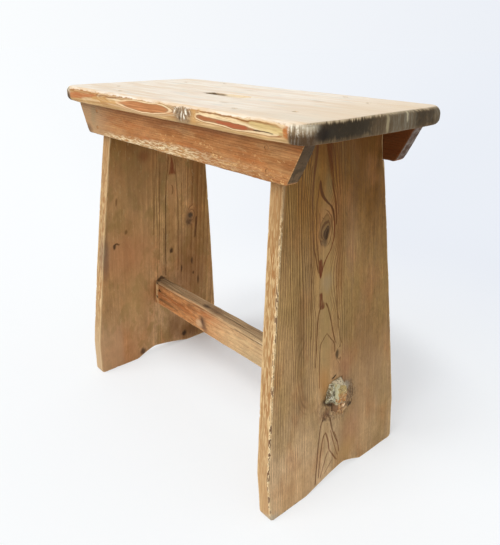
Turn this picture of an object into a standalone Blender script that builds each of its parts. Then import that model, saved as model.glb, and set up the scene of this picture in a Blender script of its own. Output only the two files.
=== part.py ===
"""A farmhouse stool in pine: a rounded seat board with a hand slot, two splayed board legs with
arched feet, two bevel-ended aprons let into the legs' edges, and one stretcher whose ends pass
through the legs and are tightened from outside by wooden wedges.  Cut nails hold the boards.

Frame: origin on the floor under the middle of the seat, +Z up, X along the seat, front at -Y.
"""
import math

import bmesh
import bpy
from mathutils import Vector

# ---- fit between pieces ----
joint_gap = 0.0003
past_face = 0.004

# ---- seat board ----
stool_height = 0.450
seat_length = 0.460
seat_depth = 0.216
seat_thickness = 0.0195
seat_corner_radius = 0.014
seat_top_round = 0.0050
seat_bottom_round = 0.0015
hand_slot_length = 0.074
hand_slot_width = 0.018
hand_slot_along = 0.005
hand_slot_forward = 0.005

# ---- aprons, under the long sides of the seat ----
apron_setback = 0.0153
apron_thickness = 0.0157
apron_height = 0.0418
apron_end_inset = 0.0132
apron_end_slant = 0.0215
apron_low_corner_radius = 0.004

# ---- legs, two boards leaning outward ----
leg_inset_at_seat = 0.0542
leg_splay = math.radians(4.7)
leg_thickness = 0.0185
leg_half_width_under_aprons = 0.0797
leg_half_width_at_flare = 0.1165
leg_flare_height = 0.058
leg_edge_bow = 0.0012
leg_foot_tuck = 0.0012
leg_foot_corner_radius = 0.009

# ---- shallow arch sawn in each foot, its peak a little off the middle ----
arch_rise = 0.0132
arch_peak_offset = 0.013
arch_long_reach = 0.055
arch_short_reach = 0.047
arch_fullness = 1.35

# ---- stretcher, full section through both legs ----
stretcher_thickness = 0.0190
stretcher_height = 0.0400
stretcher_bottom = 0.0997
tenon_stand_out = 0.0080
tenon_chamfer = 0.0025

# ---- wedges beside the tenons, driven from outside ----
wedge_height = 0.024
wedge_drop = 0.001
wedge_head_thickness = 0.0100
wedge_tip_thickness = 0.0065
wedge_stand_out_top = 0.0060
wedge_stand_out_bottom = 0.0020
wedge_tip_clear = 0.0010

# ---- nails ----
nail_shank_radius = 0.0013
nail_head_radius = 0.0023
nail_head_thickness = 0.0008
nail_head_sink = 0.0002
nail_point_length = 0.004
seat_nail_length = 0.050
seat_nail_in_from_leg_edge = 0.0207
seat_nail_in_from_seat_end = 0.118
apron_nail_length = 0.030
apron_nail_spread = 0.011
nail_point_share = 0.25

# ---- softened arrises ----
board_arris = 0.0010
stretcher_arris = 0.0012
arris_profile = 0.5

# ---- faceting ----
corner_steps = 6
edge_steps = 12
arch_steps = 9
round_steps = 3
nail_sides = 8
foot_edge_shares = (0.4, 0.8)

# ---- derived places ----
seat_underside = stool_height - seat_thickness
frame_top = seat_underside - joint_gap
apron_top_half = seat_length / 2 - apron_end_inset
apron_bottom_half = apron_top_half - apron_end_slant
apron_bottom = frame_top - apron_height
apron_face = seat_depth / 2 - apron_setback
apron_inner_face = apron_face - apron_thickness
apron_middle = apron_face - apron_thickness / 2
leg_notch_half_width = apron_inner_face - joint_gap
leg_notch_floor = apron_bottom - joint_gap
leg_span = leg_thickness / math.cos(leg_splay)
leg_lean = math.tan(leg_splay)
stretcher_top = stretcher_bottom + stretcher_height
seat_nail_across = leg_notch_half_width - seat_nail_in_from_leg_edge
seat_nail_along = seat_length / 2 - seat_nail_in_from_seat_end


def leg_outer_face(height):
    """Distance from the middle of the stool to a leg's outer face at a given height."""
    return seat_length / 2 - leg_inset_at_seat + (seat_underside - height) * leg_lean


def leg_middle(height):
    return leg_outer_face(height) - leg_span / 2


def leg_half_width(height):
    """Half the width of a leg: a slightly bowed taper down to the flare, then nearly upright."""
    if height <= leg_flare_height:
        return leg_half_width_at_flare - leg_foot_tuck * (1 - height / leg_flare_height)
    down = (leg_notch_floor - height) / (leg_notch_floor - leg_flare_height)
    spread = leg_half_width_at_flare - leg_half_width_under_aprons
    return leg_half_width_under_aprons + spread * down + 4 * leg_edge_bow * down * (1 - down)


def arch_height(across, towards):
    """Height of the foot's arch above the floor, `towards` being the side its peak lies on."""
    past_peak = towards * across - arch_peak_offset
    reach = arch_short_reach - arch_peak_offset if past_peak > 0 else arch_long_reach + arch_peak_offset
    return arch_rise * (1 - min(1.0, abs(past_peak) / reach) ** arch_fullness)


def finish(name, colour, roughness=0.75, metallic=0.0):
    """A plain material with the piece's own colour."""
    material = bpy.data.materials.new(name)
    material.use_nodes = True
    shader = material.node_tree.nodes["Principled BSDF"]
    shader.inputs["Base Color"].default_value = (*colour, 1)
    shader.inputs["Roughness"].default_value = roughness
    shader.inputs["Metallic"].default_value = metallic
    return material


def add_object(name, bm, material=None):
    """Turn a bmesh into an object with its faces outward."""
    bmesh.ops.recalc_face_normals(bm, faces=bm.faces)
    mesh = bpy.data.meshes.new(name)
    bm.to_mesh(mesh)
    bm.free()
    body = bpy.data.objects.new(name, mesh)
    bpy.context.scene.collection.objects.link(body)
    if material:
        mesh.materials.append(material)
    return body


def solid(outline, depth):
    """Extrude a closed outline of points by a vector and close the end it leaves behind."""
    bm = bmesh.new()
    near = bm.faces.new([bm.verts.new(point) for point in outline])
    moved = bmesh.ops.extrude_face_region(bm, geom=[near])["geom"]
    far_verts = [item for item in moved if isinstance(item, bmesh.types.BMVert)]
    bmesh.ops.translate(bm, verts=far_verts, vec=depth)
    open_edges = [edge for edge in bm.edges if edge.is_boundary]
    if open_edges:
        bmesh.ops.contextual_create(bm, geom=open_edges)
    return bm


def soften(bm, edges, width, steps=1):
    bmesh.ops.bevel(bm, geom=edges, offset=width, offset_type="OFFSET", segments=steps, profile=arris_profile,
                    affect="EDGES", clamp_overlap=True, material=-1)


def arc(centre, radius, start, turn, steps=corner_steps):
    """Points along an arc in a plane, as pairs."""
    angles = [math.radians(start + turn * step / steps) for step in range(steps + 1)]
    return [(centre[0] + radius * math.cos(angle), centre[1] + radius * math.sin(angle)) for angle in angles]


def cutter(name, bm):
    body = add_object(name, bm)
    body.hide_render = True
    body.display_type = "WIRE"
    return body


def cut(body, tool):
    change = body.modifiers.new("cut " + tool.name, "BOOLEAN")
    change.operation = "DIFFERENCE"
    change.solver = "EXACT"
    change.object = tool


# ---- nails, along their own axis: head at the start, point at the end ----
def nail_rings(length, spread, above):
    """Radius and depth of each ring of a nail; spread and above widen it into the hole it needs."""
    head = nail_head_radius + spread
    shank = nail_shank_radius + spread
    shoulder = nail_head_sink + nail_head_thickness + spread
    return [(head, -above if above else nail_head_sink), (head, shoulder), (shank, shoulder),
            (shank, length - nail_point_length + spread), (shank * nail_point_share, length + spread)]


def nail_body(start, along, length, spread=0.0, above=0.0, bm=None):
    bm = bm or bmesh.new()
    along = Vector(along).normalized()
    side = Vector((1, 0, 0))
    other = along.cross(side)
    loops = []
    for radius, depth in nail_rings(length, spread, above):
        turns = [2 * math.pi * (step + 0.5) / nail_sides for step in range(nail_sides)]
        loops.append([bm.verts.new(Vector(start) + along * depth
                                   + side * radius * math.cos(turn) + other * radius * math.sin(turn))
                      for turn in turns])
    for upper, lower in zip(loops, loops[1:]):
        for step in range(nail_sides):
            after = (step + 1) % nail_sides
            bm.faces.new((upper[step], upper[after], lower[after], lower[step]))
    bm.faces.new(loops[0])
    bm.faces.new(loops[-1])
    return bm


def nail_plan():
    """Each nail's name, start, direction, length and the boards that it holds."""
    plan = []
    for end, end_sign in (("left", -1), ("right", 1)):
        for side, side_sign in (("front", -1), ("rear", 1)):
            halfway = stool_height - (seat_nail_length + seat_thickness) / 2
            plan.append((f"seat_nail_{end}_leg_{side}",
                         (end_sign * leg_middle(halfway), side_sign * seat_nail_across, stool_height),
                         (0, 0, -1), seat_nail_length, ("seat_board", f"{end}_leg")))
            plan.append((f"seat_nail_{side}_apron_{end}",
                         (end_sign * seat_nail_along, side_sign * apron_middle, stool_height),
                         (0, 0, -1), seat_nail_length, ("seat_board", f"{side}_apron")))
            for level, level_sign in (("upper", 1), ("lower", -1)):
                height = apron_bottom + apron_height / 2 + level_sign * apron_nail_spread
                plan.append((f"apron_nail_{side}_{end}_{level}",
                             (end_sign * leg_middle(height), side_sign * apron_face, height),
                             (0, -side_sign, 0), apron_nail_length, (f"{side}_apron", f"{end}_leg")))
    return plan


def bore_for_nails(boards):
    """Cut every board for the nails that pass through it or end in it."""
    for name, board in boards.items():
        bm = bmesh.new()
        for _, start, along, length, held in nail_plan():
            if name in held:
                nail_body(start, along, length, joint_gap, past_face, bm)
        if bm.faces:
            cut(board, cutter(f"nail_holes_{name}", bm))


# ---- seat board ----
def make_seat(material):
    reach_x = seat_length / 2 - seat_corner_radius
    reach_y = seat_depth / 2 - seat_corner_radius
    corners = ((reach_x, reach_y, 0), (-reach_x, reach_y, 90), (-reach_x, -reach_y, 180),
               (reach_x, -reach_y, 270))
    outline = [(x, y, seat_underside) for cx, cy, start in corners
               for x, y in arc((cx, cy), seat_corner_radius, start, 90)]
    bm = solid(outline, (0, 0, seat_thickness))
    middle = seat_underside + seat_thickness / 2
    flat = [edge for edge in bm.edges if abs(edge.verts[0].co.z - edge.verts[1].co.z) < joint_gap]
    soften(bm, [edge for edge in flat if edge.verts[0].co.z > middle], seat_top_round, round_steps)
    flat = [edge for edge in bm.edges if all(vert.co.z < seat_underside + joint_gap for vert in edge.verts)]
    soften(bm, flat, seat_bottom_round)
    seat = add_object("seat_board", bm, material)
    half_straight = (hand_slot_length - hand_slot_width) / 2
    ends = ((hand_slot_along + half_straight, -90), (hand_slot_along - half_straight, 90))
    rim = [(x, y, seat_underside - past_face) for cx, start in ends
           for x, y in arc((cx, -hand_slot_forward), hand_slot_width / 2, start, 180)]
    cut(seat, cutter("hand_slot", solid(rim, (0, 0, seat_thickness + 2 * past_face))))
    return seat


# ---- aprons ----
def make_apron(name, side_sign, material):
    slope = math.degrees(math.atan2(apron_height, apron_end_slant))
    radius = apron_low_corner_radius
    inward = radius * math.tan(math.radians(slope / 2))
    low = []
    for end_sign in (-1, 1):
        centre = (apron_bottom_half - inward, apron_bottom + radius)
        points = arc(centre, radius, -90, slope, round_steps)
        low += [(end_sign * x, z) for x, z in (points if end_sign > 0 else reversed(points))]
    outline = low + [(apron_top_half, frame_top), (-apron_top_half, frame_top)]
    bm = solid([(x, side_sign * apron_inner_face, z) for x, z in outline],
               (0, side_sign * apron_thickness, 0))
    arrises = [edge for edge in bm.edges
               if abs(edge.verts[0].co.y - edge.verts[1].co.y) < joint_gap
               and min(vert.co.z for vert in edge.verts) < frame_top - joint_gap]
    soften(bm, arrises, board_arris)
    return add_object(name, bm, material)


# ---- legs ----
def leg_outline(towards):
    """One leg seen from its end: foot corners, arch, bowed edges and the notches for the aprons."""
    radius = leg_foot_corner_radius
    foot = leg_half_width(0.0)
    start, stop = (-arch_long_reach, arch_short_reach) if towards > 0 else (-arch_short_reach, arch_long_reach)
    peak = towards * arch_peak_offset
    across = [start + (peak - start) * step / arch_steps for step in range(arch_steps)]
    across += [peak + (stop - peak) * step / arch_steps for step in range(arch_steps + 1)]
    outline = arc((-foot + radius, radius), radius, 180, 90, round_steps)
    outline += [(y, arch_height(y, towards)) for y in across]
    outline += arc((foot - radius, radius), radius, 270, 90, round_steps)
    heights = [radius + (leg_flare_height - radius) * share for share in foot_edge_shares]
    heights += [leg_flare_height + (leg_notch_floor - leg_flare_height) * step / edge_steps
                for step in range(edge_steps + 1)]
    outline += [(leg_half_width(z), z) for z in heights]
    outline += [(leg_notch_half_width, leg_notch_floor), (leg_notch_half_width, frame_top)]
    outline += [(-leg_notch_half_width, frame_top), (-leg_notch_half_width, leg_notch_floor)]
    outline += [(-leg_half_width(z), z) for z in reversed(heights)]
    return outline


def make_leg(name, end_sign, material):
    outline = [(-leg_span / 2, y, z) for y, z in leg_outline(end_sign)]
    bm = solid(outline, (leg_span, 0, 0))
    arrises = [edge for edge in bm.edges
               if abs(edge.verts[0].co.x - edge.verts[1].co.x) < joint_gap
               and max(vert.co.z for vert in edge.verts) < leg_notch_floor + joint_gap
               and max(abs(vert.co.y) for vert in edge.verts) > leg_notch_half_width + joint_gap
               and min(abs(vert.co.y) for vert in edge.verts) > leg_notch_half_width + joint_gap
               and min(vert.co.z for vert in edge.verts) > leg_foot_corner_radius / 2]
    soften(bm, arrises, board_arris)
    for vert in bm.verts:
        vert.co.x = end_sign * (leg_middle(vert.co.z) + vert.co.x)
    leg = add_object(name, bm, material)
    gap = joint_gap
    low, high = stretcher_bottom - gap, stretcher_top + gap
    half = stretcher_thickness / 2 + gap
    near, far = leg_outer_face(high) - leg_span - past_face, leg_outer_face(low) + past_face
    square = [(end_sign * near, y, z) for y, z in ((-half, low), (half, low), (half, high), (-half, high))]
    cut(leg, cutter(f"mortise_{name}", solid(square, (end_sign * (far - near), 0, 0))))
    cut(leg, cutter(f"wedge_pocket_{name}", wedge_body(end_sign, gap)))
    return leg


# ---- wedges ----
def wedge_body(end_sign, spread=0.0):
    """A wedge beside the front of a tenon; spread grows it into the pocket it needs in the leg."""
    high = stretcher_top - wedge_drop + spread
    low = stretcher_top - wedge_drop - wedge_height - spread
    back = -(stretcher_thickness / 2 + joint_gap) + (2 * spread if spread else 0)
    tip_x = leg_outer_face(high) - leg_span + wedge_tip_clear - (past_face if spread else 0)
    head_top_x = leg_outer_face(high) + (past_face if spread else wedge_stand_out_top)
    head_low_x = leg_outer_face(low) + (past_face if spread else wedge_stand_out_bottom)
    face_x = leg_outer_face(high)
    growth = (wedge_head_thickness - wedge_tip_thickness) / (face_x - tip_x if not spread else leg_span)

    def front(x):
        start_x = leg_outer_face(high) - leg_span + wedge_tip_clear
        return -(stretcher_thickness / 2 + joint_gap) - wedge_tip_thickness - (x - start_x) * growth - spread

    bm = bmesh.new()
    rings = []
    for z, head_x in ((low, head_low_x), (high, head_top_x)):
        rings.append([bm.verts.new((end_sign * x, y, z)) for x, y in
                      ((tip_x, back), (head_x, back), (head_x, front(head_x)), (tip_x, front(tip_x)))])
    bm.faces.new(rings[0])
    bm.faces.new(rings[1])
    for step in range(4):
        after = (step + 1) % 4
        bm.faces.new((rings[0][step], rings[0][after], rings[1][after], rings[1][step]))
    bmesh.ops.recalc_face_normals(bm, faces=bm.faces)
    return bm


# ---- stretcher ----
def make_stretcher(material):
    middle = stretcher_bottom + stretcher_height / 2
    half_length = leg_outer_face(middle) + tenon_stand_out
    half = stretcher_thickness / 2
    section = [(-half_length, y, z) for y, z in ((-half, stretcher_bottom), (half, stretcher_bottom),
                                                 (half, stretcher_top), (-half, stretcher_top))]
    bm = solid(section, (2 * half_length, 0, 0))
    long_edges = [edge for edge in bm.edges
                  if abs(edge.verts[0].co.x - edge.verts[1].co.x) > half_length]
    soften(bm, long_edges, stretcher_arris)
    ends = [edge for edge in bm.edges
            if all(abs(abs(vert.co.x) - half_length) < joint_gap for vert in edge.verts)]
    soften(bm, ends, tenon_chamfer)
    return add_object("stretcher", bm, material)


def build():
    for thing in list(bpy.data.objects):
        bpy.data.objects.remove(thing, do_unlink=True)
    seat_wood = finish("scrubbed pine", (0.72, 0.60, 0.44))
    apron_wood = finish("orange pine", (0.43, 0.19, 0.07))
    leg_wood = finish("brown pine", (0.32, 0.19, 0.09))
    stretcher_wood = finish("aged pine", (0.40, 0.21, 0.09))
    wedge_wood = finish("bruised pine", (0.42, 0.36, 0.24), 0.85)
    iron = finish("dulled iron", (0.16, 0.11, 0.08), 0.6, 0.8)
    boards = {"seat_board": make_seat(seat_wood),
              "front_apron": make_apron("front_apron", -1, apron_wood),
              "rear_apron": make_apron("rear_apron", 1, apron_wood),
              "left_leg": make_leg("left_leg", -1, leg_wood),
              "right_leg": make_leg("right_leg", 1, leg_wood)}
    make_stretcher(stretcher_wood)
    for end, end_sign in (("left", -1), ("right", 1)):
        add_object(f"{end}_wedge", wedge_body(end_sign), wedge_wood)
    bore_for_nails(boards)
    for name, start, along, length, _ in nail_plan():
        add_object(name, nail_body(start, along, length), iron)


build()
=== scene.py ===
"""The pine stool: worn boards, rough wedged tenon ends and scrubbed seat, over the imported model."""
import math

import bmesh
import bpy
from mathutils import Matrix, Vector, noise


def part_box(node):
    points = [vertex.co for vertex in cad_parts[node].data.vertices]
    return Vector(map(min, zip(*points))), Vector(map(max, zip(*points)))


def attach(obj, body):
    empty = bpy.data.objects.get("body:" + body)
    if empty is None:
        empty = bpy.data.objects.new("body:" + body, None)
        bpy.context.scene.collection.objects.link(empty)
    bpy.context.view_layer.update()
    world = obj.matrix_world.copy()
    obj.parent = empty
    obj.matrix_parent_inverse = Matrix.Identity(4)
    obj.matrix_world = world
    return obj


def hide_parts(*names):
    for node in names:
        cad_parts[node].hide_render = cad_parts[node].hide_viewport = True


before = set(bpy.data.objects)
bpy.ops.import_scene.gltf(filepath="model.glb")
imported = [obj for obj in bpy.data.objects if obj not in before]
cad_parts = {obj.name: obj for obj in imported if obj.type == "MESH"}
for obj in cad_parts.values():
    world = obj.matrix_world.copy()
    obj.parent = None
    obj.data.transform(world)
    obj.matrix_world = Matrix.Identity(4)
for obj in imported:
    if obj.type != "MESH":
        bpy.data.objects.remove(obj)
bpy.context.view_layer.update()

# ---- sizes of the stool, in metres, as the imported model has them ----
stool_height = 0.450
seat_half_length = 0.230
seat_half_depth = 0.108
seat_thickness = 0.0195
seat_underside = stool_height - seat_thickness
joint_gap = 0.0003
frame_top = seat_underside - joint_gap
slot_length = 0.074
slot_width = 0.018
slot_centre = Vector((0.005, -0.005, 0))
apron_face = 0.0927
apron_thickness = 0.0157
apron_height = 0.0418
apron_bottom = frame_top - apron_height
apron_top_half = 0.2168
apron_bottom_half = 0.1953
leg_face_at_seat = 0.1758
leg_splay = math.radians(4.7)
leg_lean = math.tan(leg_splay)
leg_thickness = 0.0185
leg_span = leg_thickness / math.cos(leg_splay)
leg_notch_half = apron_face - apron_thickness - joint_gap
leg_notch_floor = apron_bottom - joint_gap
leg_half_under_aprons = 0.0797
leg_half_at_flare = 0.1165
leg_flare_height = 0.058
leg_edge_bow = 0.0012
leg_foot_tuck = 0.0012
arch_rise = 0.0132
arch_peak = 0.013
arch_long_reach = 0.055
arch_short_reach = 0.047
stretcher_half_thickness = 0.0095
stretcher_bottom = 0.0997
stretcher_top = 0.1397
tenon_stand_out = 0.008
wedge_bottom_drop = 0.0248
wedge_top_drop = 0.0006
wedge_width = 0.0100

# ---- wear, in metres ----
slot_wave = 0.0005
slot_profile = [(0.003, -0.0031), (0.0014, -0.0008), (0.0004, 0.0004), (0, 0.0022), (0, 0.0159),
                (0.0003, 0.0172), (0.0011, 0.0185), (0.0026, 0.0193), (0.006, 0.0219)]
nail_sink = 0.0002
nail_hollow = 0.0003
hollow_mouth = 0.0031
hollow_floor = 0.0024
hollow_tool = 0.006
seat_corner = 0.014
leg_corner = 0.0055
apron_corner = 0.004
seat_top_arris = 0.0054
seat_low_arris = 0.0022
apron_arris = 0.0012
leg_arris = 0.0011
least_arris = 0.0004
stretcher_arris = 0.0014
arris_reach = 0.0035
slow_wave = 0.00022
quick_wave = 0.00010
seat_dish = 0.0011
seat_edge_sag = 0.0007
stretcher_belly = 0.0011
mortise_room = 0.0004
tenon_roughness = 0.00095
wedge_roughness = 0.0013
skin_mesh = 0.0006
fibre_scale = (70, 420, 420)
nail_profile = [(0, 0), (0.0011, 0.00002), (0.0018, 0.00012), (0.0022, 0.0004), (0.0023, 0.0008),
                (0.0021, 0.0011), (0.0013, 0.0012)]
nail_point = [(0.0013, 0.0045), (0.0004, 0.0006), (0, 0.0004)]


def leg_face(height):
    return leg_face_at_seat + (seat_underside - height) * leg_lean


def leg_half_width(height):
    if height > leg_notch_floor:
        return leg_notch_half
    if height <= leg_flare_height:
        return leg_half_at_flare - leg_foot_tuck * (1 - height / leg_flare_height)
    down = (leg_notch_floor - height) / (leg_notch_floor - leg_flare_height)
    spread = leg_half_at_flare - leg_half_under_aprons
    return leg_half_under_aprons + spread * down + 4 * leg_edge_bow * down * (1 - down)


def arch_height(across, towards):
    past = towards * across - arch_peak
    reach = arch_short_reach - arch_peak if past > 0 else arch_long_reach + arch_peak
    return arch_rise * (1 - min(1.0, abs(past) / reach) ** 1.35)


# ---- wood shaping ----
def rows_between(low, high, zone, close, far):
    """Rows across a board: close together near both arrises, wider in between."""
    near = [zone * (step / close) ** 1.35 for step in range(close)]
    middle = [low + zone + (high - low - 2 * zone) * step / far for step in range(far + 1)]
    return [low + step for step in near] + middle + [high - step for step in reversed(near)]


def sawn_blank(*rows):
    """A closed block whose six faces are cut into a grid along the given rows."""
    bm = bmesh.new()
    bmesh.ops.create_cube(bm, size=2)
    for axis, places in enumerate(rows):
        whole = [edge for edge in bm.edges if abs((edge.verts[0].co - edge.verts[1].co)[axis]) > 1.9]
        bmesh.ops.subdivide_edges(bm, edges=whole, cuts=len(places) - 2, use_grid_fill=True)
    for vert in bm.verts:
        vert.co = [places[round((value + 1) / 2 * (len(places) - 1))] for places, value in zip(rows, vert.co)]
    return bm


def worn(place, scale, amount, seed):
    return amount * noise.noise(Vector(place) * scale + Vector((seed, 2 * seed, 3 * seed)))


def soften_arris(point, low, high, radius, far_side_soft):
    """Round the arris between a board's faces (third axis) and its sides; also gives the distance to it."""
    u, v, t = point
    half = (high[2] - low[2]) / 2
    middle = (high[2] + low[2]) / 2
    side_v = min(v - low[1], high[1] - v) if far_side_soft else v - low[1]
    inset = min(u - low[0], high[0] - u, side_v)
    under = half - abs(t - middle)
    distance = inset + under
    radius = min(radius, half * 0.95)
    if inset < radius and under < radius:
        a, b = radius - inset, radius - under
        pull = max(a, b) / math.hypot(a, b)
        shift = radius - a * pull - inset
        under = radius - b * pull
        share = (v - low[1]) / (high[1] - low[1])
        u += shift * (1 - 2 * (u - low[0]) / (high[0] - low[0]))
        v += shift * (1 - (2 if far_side_soft else 1) * share)
        t = middle + math.copysign(half - under, t - middle)
    return Vector((u, v, t)), distance


def round_corner(point, low, high, radius, lower_only):
    """Turn a board's square corners, in the plane of its first two axes, into round ones."""
    centre = [(low[axis] + high[axis]) / 2 for axis in (0, 1)]
    start = [(high[axis] - low[axis]) / 2 - radius for axis in (0, 1)]
    past = [abs(point[axis] - centre[axis]) - start[axis] for axis in (0, 1)]
    if min(past) > 0 and not (lower_only and point.y > centre[1]):
        pull = max(past) / math.hypot(*past)
        for axis in (0, 1):
            point[axis] = centre[axis] + math.copysign(start[axis] + past[axis] * pull, point[axis] - centre[axis])
    return point


def shape_board(name, rows, radius_at, corner, place, seed, far_side_soft=True):
    """One worn board: grid blank, softened arrises, round corners, its place, then slight unevenness."""
    low = [places[0] for places in rows]
    high = [places[-1] for places in rows]
    bm = sawn_blank(*rows)
    arris = bm.verts.layers.float.new("arris")
    for vert in bm.verts:
        point, distance = soften_arris(vert.co.copy(), low, high, radius_at(vert.co), far_side_soft)
        vert[arris] = math.exp(-distance / arris_reach)
        vert.co = place(round_corner(point, low, high, corner, not far_side_soft) if corner else point)
    bmesh.ops.recalc_face_normals(bm, faces=bm.faces)
    bm.normal_update()
    for vert in bm.verts:
        vert.co += vert.normal * (worn(vert.co, 28, slow_wave, seed) + worn(vert.co, 110, quick_wave, seed + 5))
    return finish_piece(name, bm)


def finish_piece(name, bm):
    bmesh.ops.recalc_face_normals(bm, faces=bm.faces)
    mesh = bpy.data.meshes.new(name)
    bm.to_mesh(mesh)
    bm.free()
    mesh.shade_smooth()
    piece = bpy.data.objects.new(name, mesh)
    bpy.context.scene.collection.objects.link(piece)
    return piece


def settle(piece):
    """Apply the piece's modifiers and leave it with a plain mesh."""
    mesh = bpy.data.meshes.new_from_object(piece.evaluated_get(bpy.context.evaluated_depsgraph_get()))
    old, piece.data = piece.data, mesh
    piece.modifiers.clear()
    bpy.data.meshes.remove(old)
    mesh.name = piece.name


def combine(piece, work, tool):
    """Cut another piece out of this one, or add it on, and take it away."""
    change = piece.modifiers.new(work, "BOOLEAN")
    change.operation, change.solver, change.object = work, "EXACT", tool
    settle(piece)
    bpy.data.objects.remove(tool, do_unlink=True)


def only_verts(items):
    """The corners among what an operator has made."""
    return [item for item in items if isinstance(item, bmesh.types.BMVert)]


def block(low, high):
    """A plain block between two corners."""
    bm = bmesh.new()
    size = [top - bottom for bottom, top in zip(low, high)]
    middle = [(top + bottom) / 2 for bottom, top in zip(low, high)]
    bmesh.ops.create_cube(bm, size=1, matrix=Matrix.Translation(middle) @ Matrix.Diagonal((*size, 1)))
    return bm


def slot_blank():
    """The plug that cuts the hand slot: round ends, flared a little at both faces of the seat."""
    bm = bmesh.new()
    bmesh.ops.create_circle(bm, segments=38, radius=slot_width / 2)
    rings, rim = [bm.verts[:]], bm.edges[:]
    for _ in slot_profile[1:]:
        rings.append(only_verts(bmesh.ops.extrude_edge_only(bm, edges=rim)["geom"]))
        rim = [edge for edge in bm.edges if edge.verts[0] in rings[-1] and edge.verts[1] in rings[-1]]
    for ring, (growth, rise) in zip(rings, slot_profile):
        for vert in ring:
            straight = math.copysign((slot_length - slot_width) / 2, vert.co.x)
            reach = vert.co.normalized() * (slot_width / 2 + growth)
            vert.co = reach + slot_centre + Vector((straight, 0, seat_underside + rise))
            vert.co.x += worn(vert.co, 120, slot_wave, 4)
            vert.co.y += worn(vert.co, 120, slot_wave, 6)
    bmesh.ops.holes_fill(bm, edges=bm.edges)
    return bm


# ---- the boards ----
def make_seat():
    rows = (rows_between(-seat_half_length, seat_half_length, 0.016, 11, 120),
            rows_between(-seat_half_depth, seat_half_depth, 0.016, 11, 56),
            rows_between(seat_underside, stool_height, 0.0062, 6, 4))
    middle = stool_height - seat_thickness / 2
    corner_reach, more_above, more_below = 0.045, 0.0034, 0.0052

    def radius_at(point):
        off = math.hypot(seat_half_length - abs(point.x), seat_half_depth - abs(point.y))
        corner = max(0.0, 1 - off / corner_reach)
        if point.z > middle:
            return seat_top_arris + more_above * corner + worn(point, 22, 0.0016, 1) + worn(point, 90, 0.0009, 2)
        return seat_low_arris + more_below * corner + worn(point, 40, 0.0009, 3)

    def place(point):
        lift = point.z - seat_underside
        dish = seat_dish * math.exp(-(point.x / 0.13) ** 2 - ((point.y + 0.01) / 0.07) ** 2)
        sag = seat_edge_sag * max(0.0, worn((point.x, point.y, 0), 14, 1.0, 9)) * (abs(point.y) / seat_half_depth) ** 6
        point.z -= (dish + sag) * lift / seat_thickness
        return point

    seat = shape_board("scrubbed_seat", rows, radius_at, seat_corner, place, seed=3.1)
    combine(seat, "DIFFERENCE", finish_piece("slot_plug", slot_blank()))
    return seat


def make_apron(name, side):
    rows = (rows_between(-apron_bottom_half, apron_bottom_half, 0.008, 7, 130),
            rows_between(apron_bottom, frame_top, 0.006, 6, 12),
            rows_between(-apron_thickness / 2, apron_thickness / 2, 0.0028, 4, 4))
    rubbed_more, rubbed_zone = 0.0010, 0.006

    def radius_at(point):
        wear = rubbed_more if point.y < apron_bottom + rubbed_zone else 0.0
        return max(least_arris, apron_arris + wear + worn(point, 60, 0.0012, 11 + side) + worn(point, 240, 0.0008, 12))

    def place(point):
        rise = (point.y - apron_bottom) / apron_height
        reach = 1 + (apron_top_half / apron_bottom_half - 1) * rise
        return Vector((point.x * reach, side * (apron_face - apron_thickness / 2 + point.z), point.y))

    return shape_board(name, rows, radius_at, apron_corner, place, far_side_soft=False, seed=7.7 + side)


def make_leg(name, end):
    blank_half, fine_rows_top, notch_row, tongue_row = 0.1, 0.018, 0.0002, 0.004
    nick_depth, still_half, spread_zone, arch_fades_at = 0.0045, 0.03, 0.055, 0.07
    heights = [fine_rows_top * (step / 12) ** 1.4 for step in range(12)]
    heights += [fine_rows_top + (leg_notch_floor - fine_rows_top) * step / 128 for step in range(129)]
    heights += [leg_notch_floor + notch_row] + [
        leg_notch_floor + tongue_row + (frame_top - leg_notch_floor - tongue_row) * step / 9 for step in range(10)]
    rows = (rows_between(-blank_half, blank_half, 0.012, 9, 62), heights,
            rows_between(-leg_span / 2, leg_span / 2, 0.0034, 4, 4))

    def radius_at(point):
        nick = max(0.0, worn(point, 210, 1.0, 21 + end) - 0.28) * nick_depth
        return max(least_arris, leg_arris + worn(point, 45, 0.0007, 22 + end) + nick)

    def place(point):
        across, height = point.x, point.y
        zone = min(1.0, max(0.0, (abs(across) - still_half) / spread_zone))
        across += math.copysign(1, across) * (leg_half_width(height) - blank_half) * zone * zone * (3 - 2 * zone)
        above = max(0.0, 1 - height / arch_fades_at)
        height += arch_height(across, end) * above * above
        return Vector((end * (leg_face(height) - leg_span / 2 + point.z), across, height))

    leg = shape_board(name, rows, radius_at, leg_corner, place, far_side_soft=False, seed=13.0 + end)
    half = stretcher_half_thickness + mortise_room
    plug_inside, plug_outside, room_above = 0.03, 0.01, 0.0006
    near, far = sorted((end * (leg_face(stretcher_top) - plug_inside),
                        end * (leg_face(stretcher_bottom) + plug_outside)))
    low, high = stretcher_bottom - mortise_room, stretcher_top + room_above
    plug = block((near, -half, low), (far, half, high))
    combine(leg, "DIFFERENCE", finish_piece("mortise_plug", plug))
    return leg


def make_stretcher():
    middle = (stretcher_bottom + stretcher_top) / 2
    short_of_face = 0.002
    reach = leg_face(middle) - short_of_face
    tall = stretcher_top - stretcher_bottom
    rows = (rows_between(-reach, reach, 0.004, 3, 150), rows_between(-tall / 2, tall / 2, 0.007, 7, 8),
            rows_between(-stretcher_half_thickness, stretcher_half_thickness, 0.004, 5, 4))

    def radius_at(point):
        return max(0.0006, stretcher_arris + worn(point, 35, 0.0010, 31) + worn(point, 160, 0.0006, 32))

    def place(point):
        belly = stretcher_belly * (1 - (point.x / reach) ** 2) * math.copysign(1, point.y)
        return Vector((point.x, point.z, middle + point.y + belly))

    return shape_board("stretcher_rail", rows, radius_at, 0, place, seed=19.4)


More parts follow.
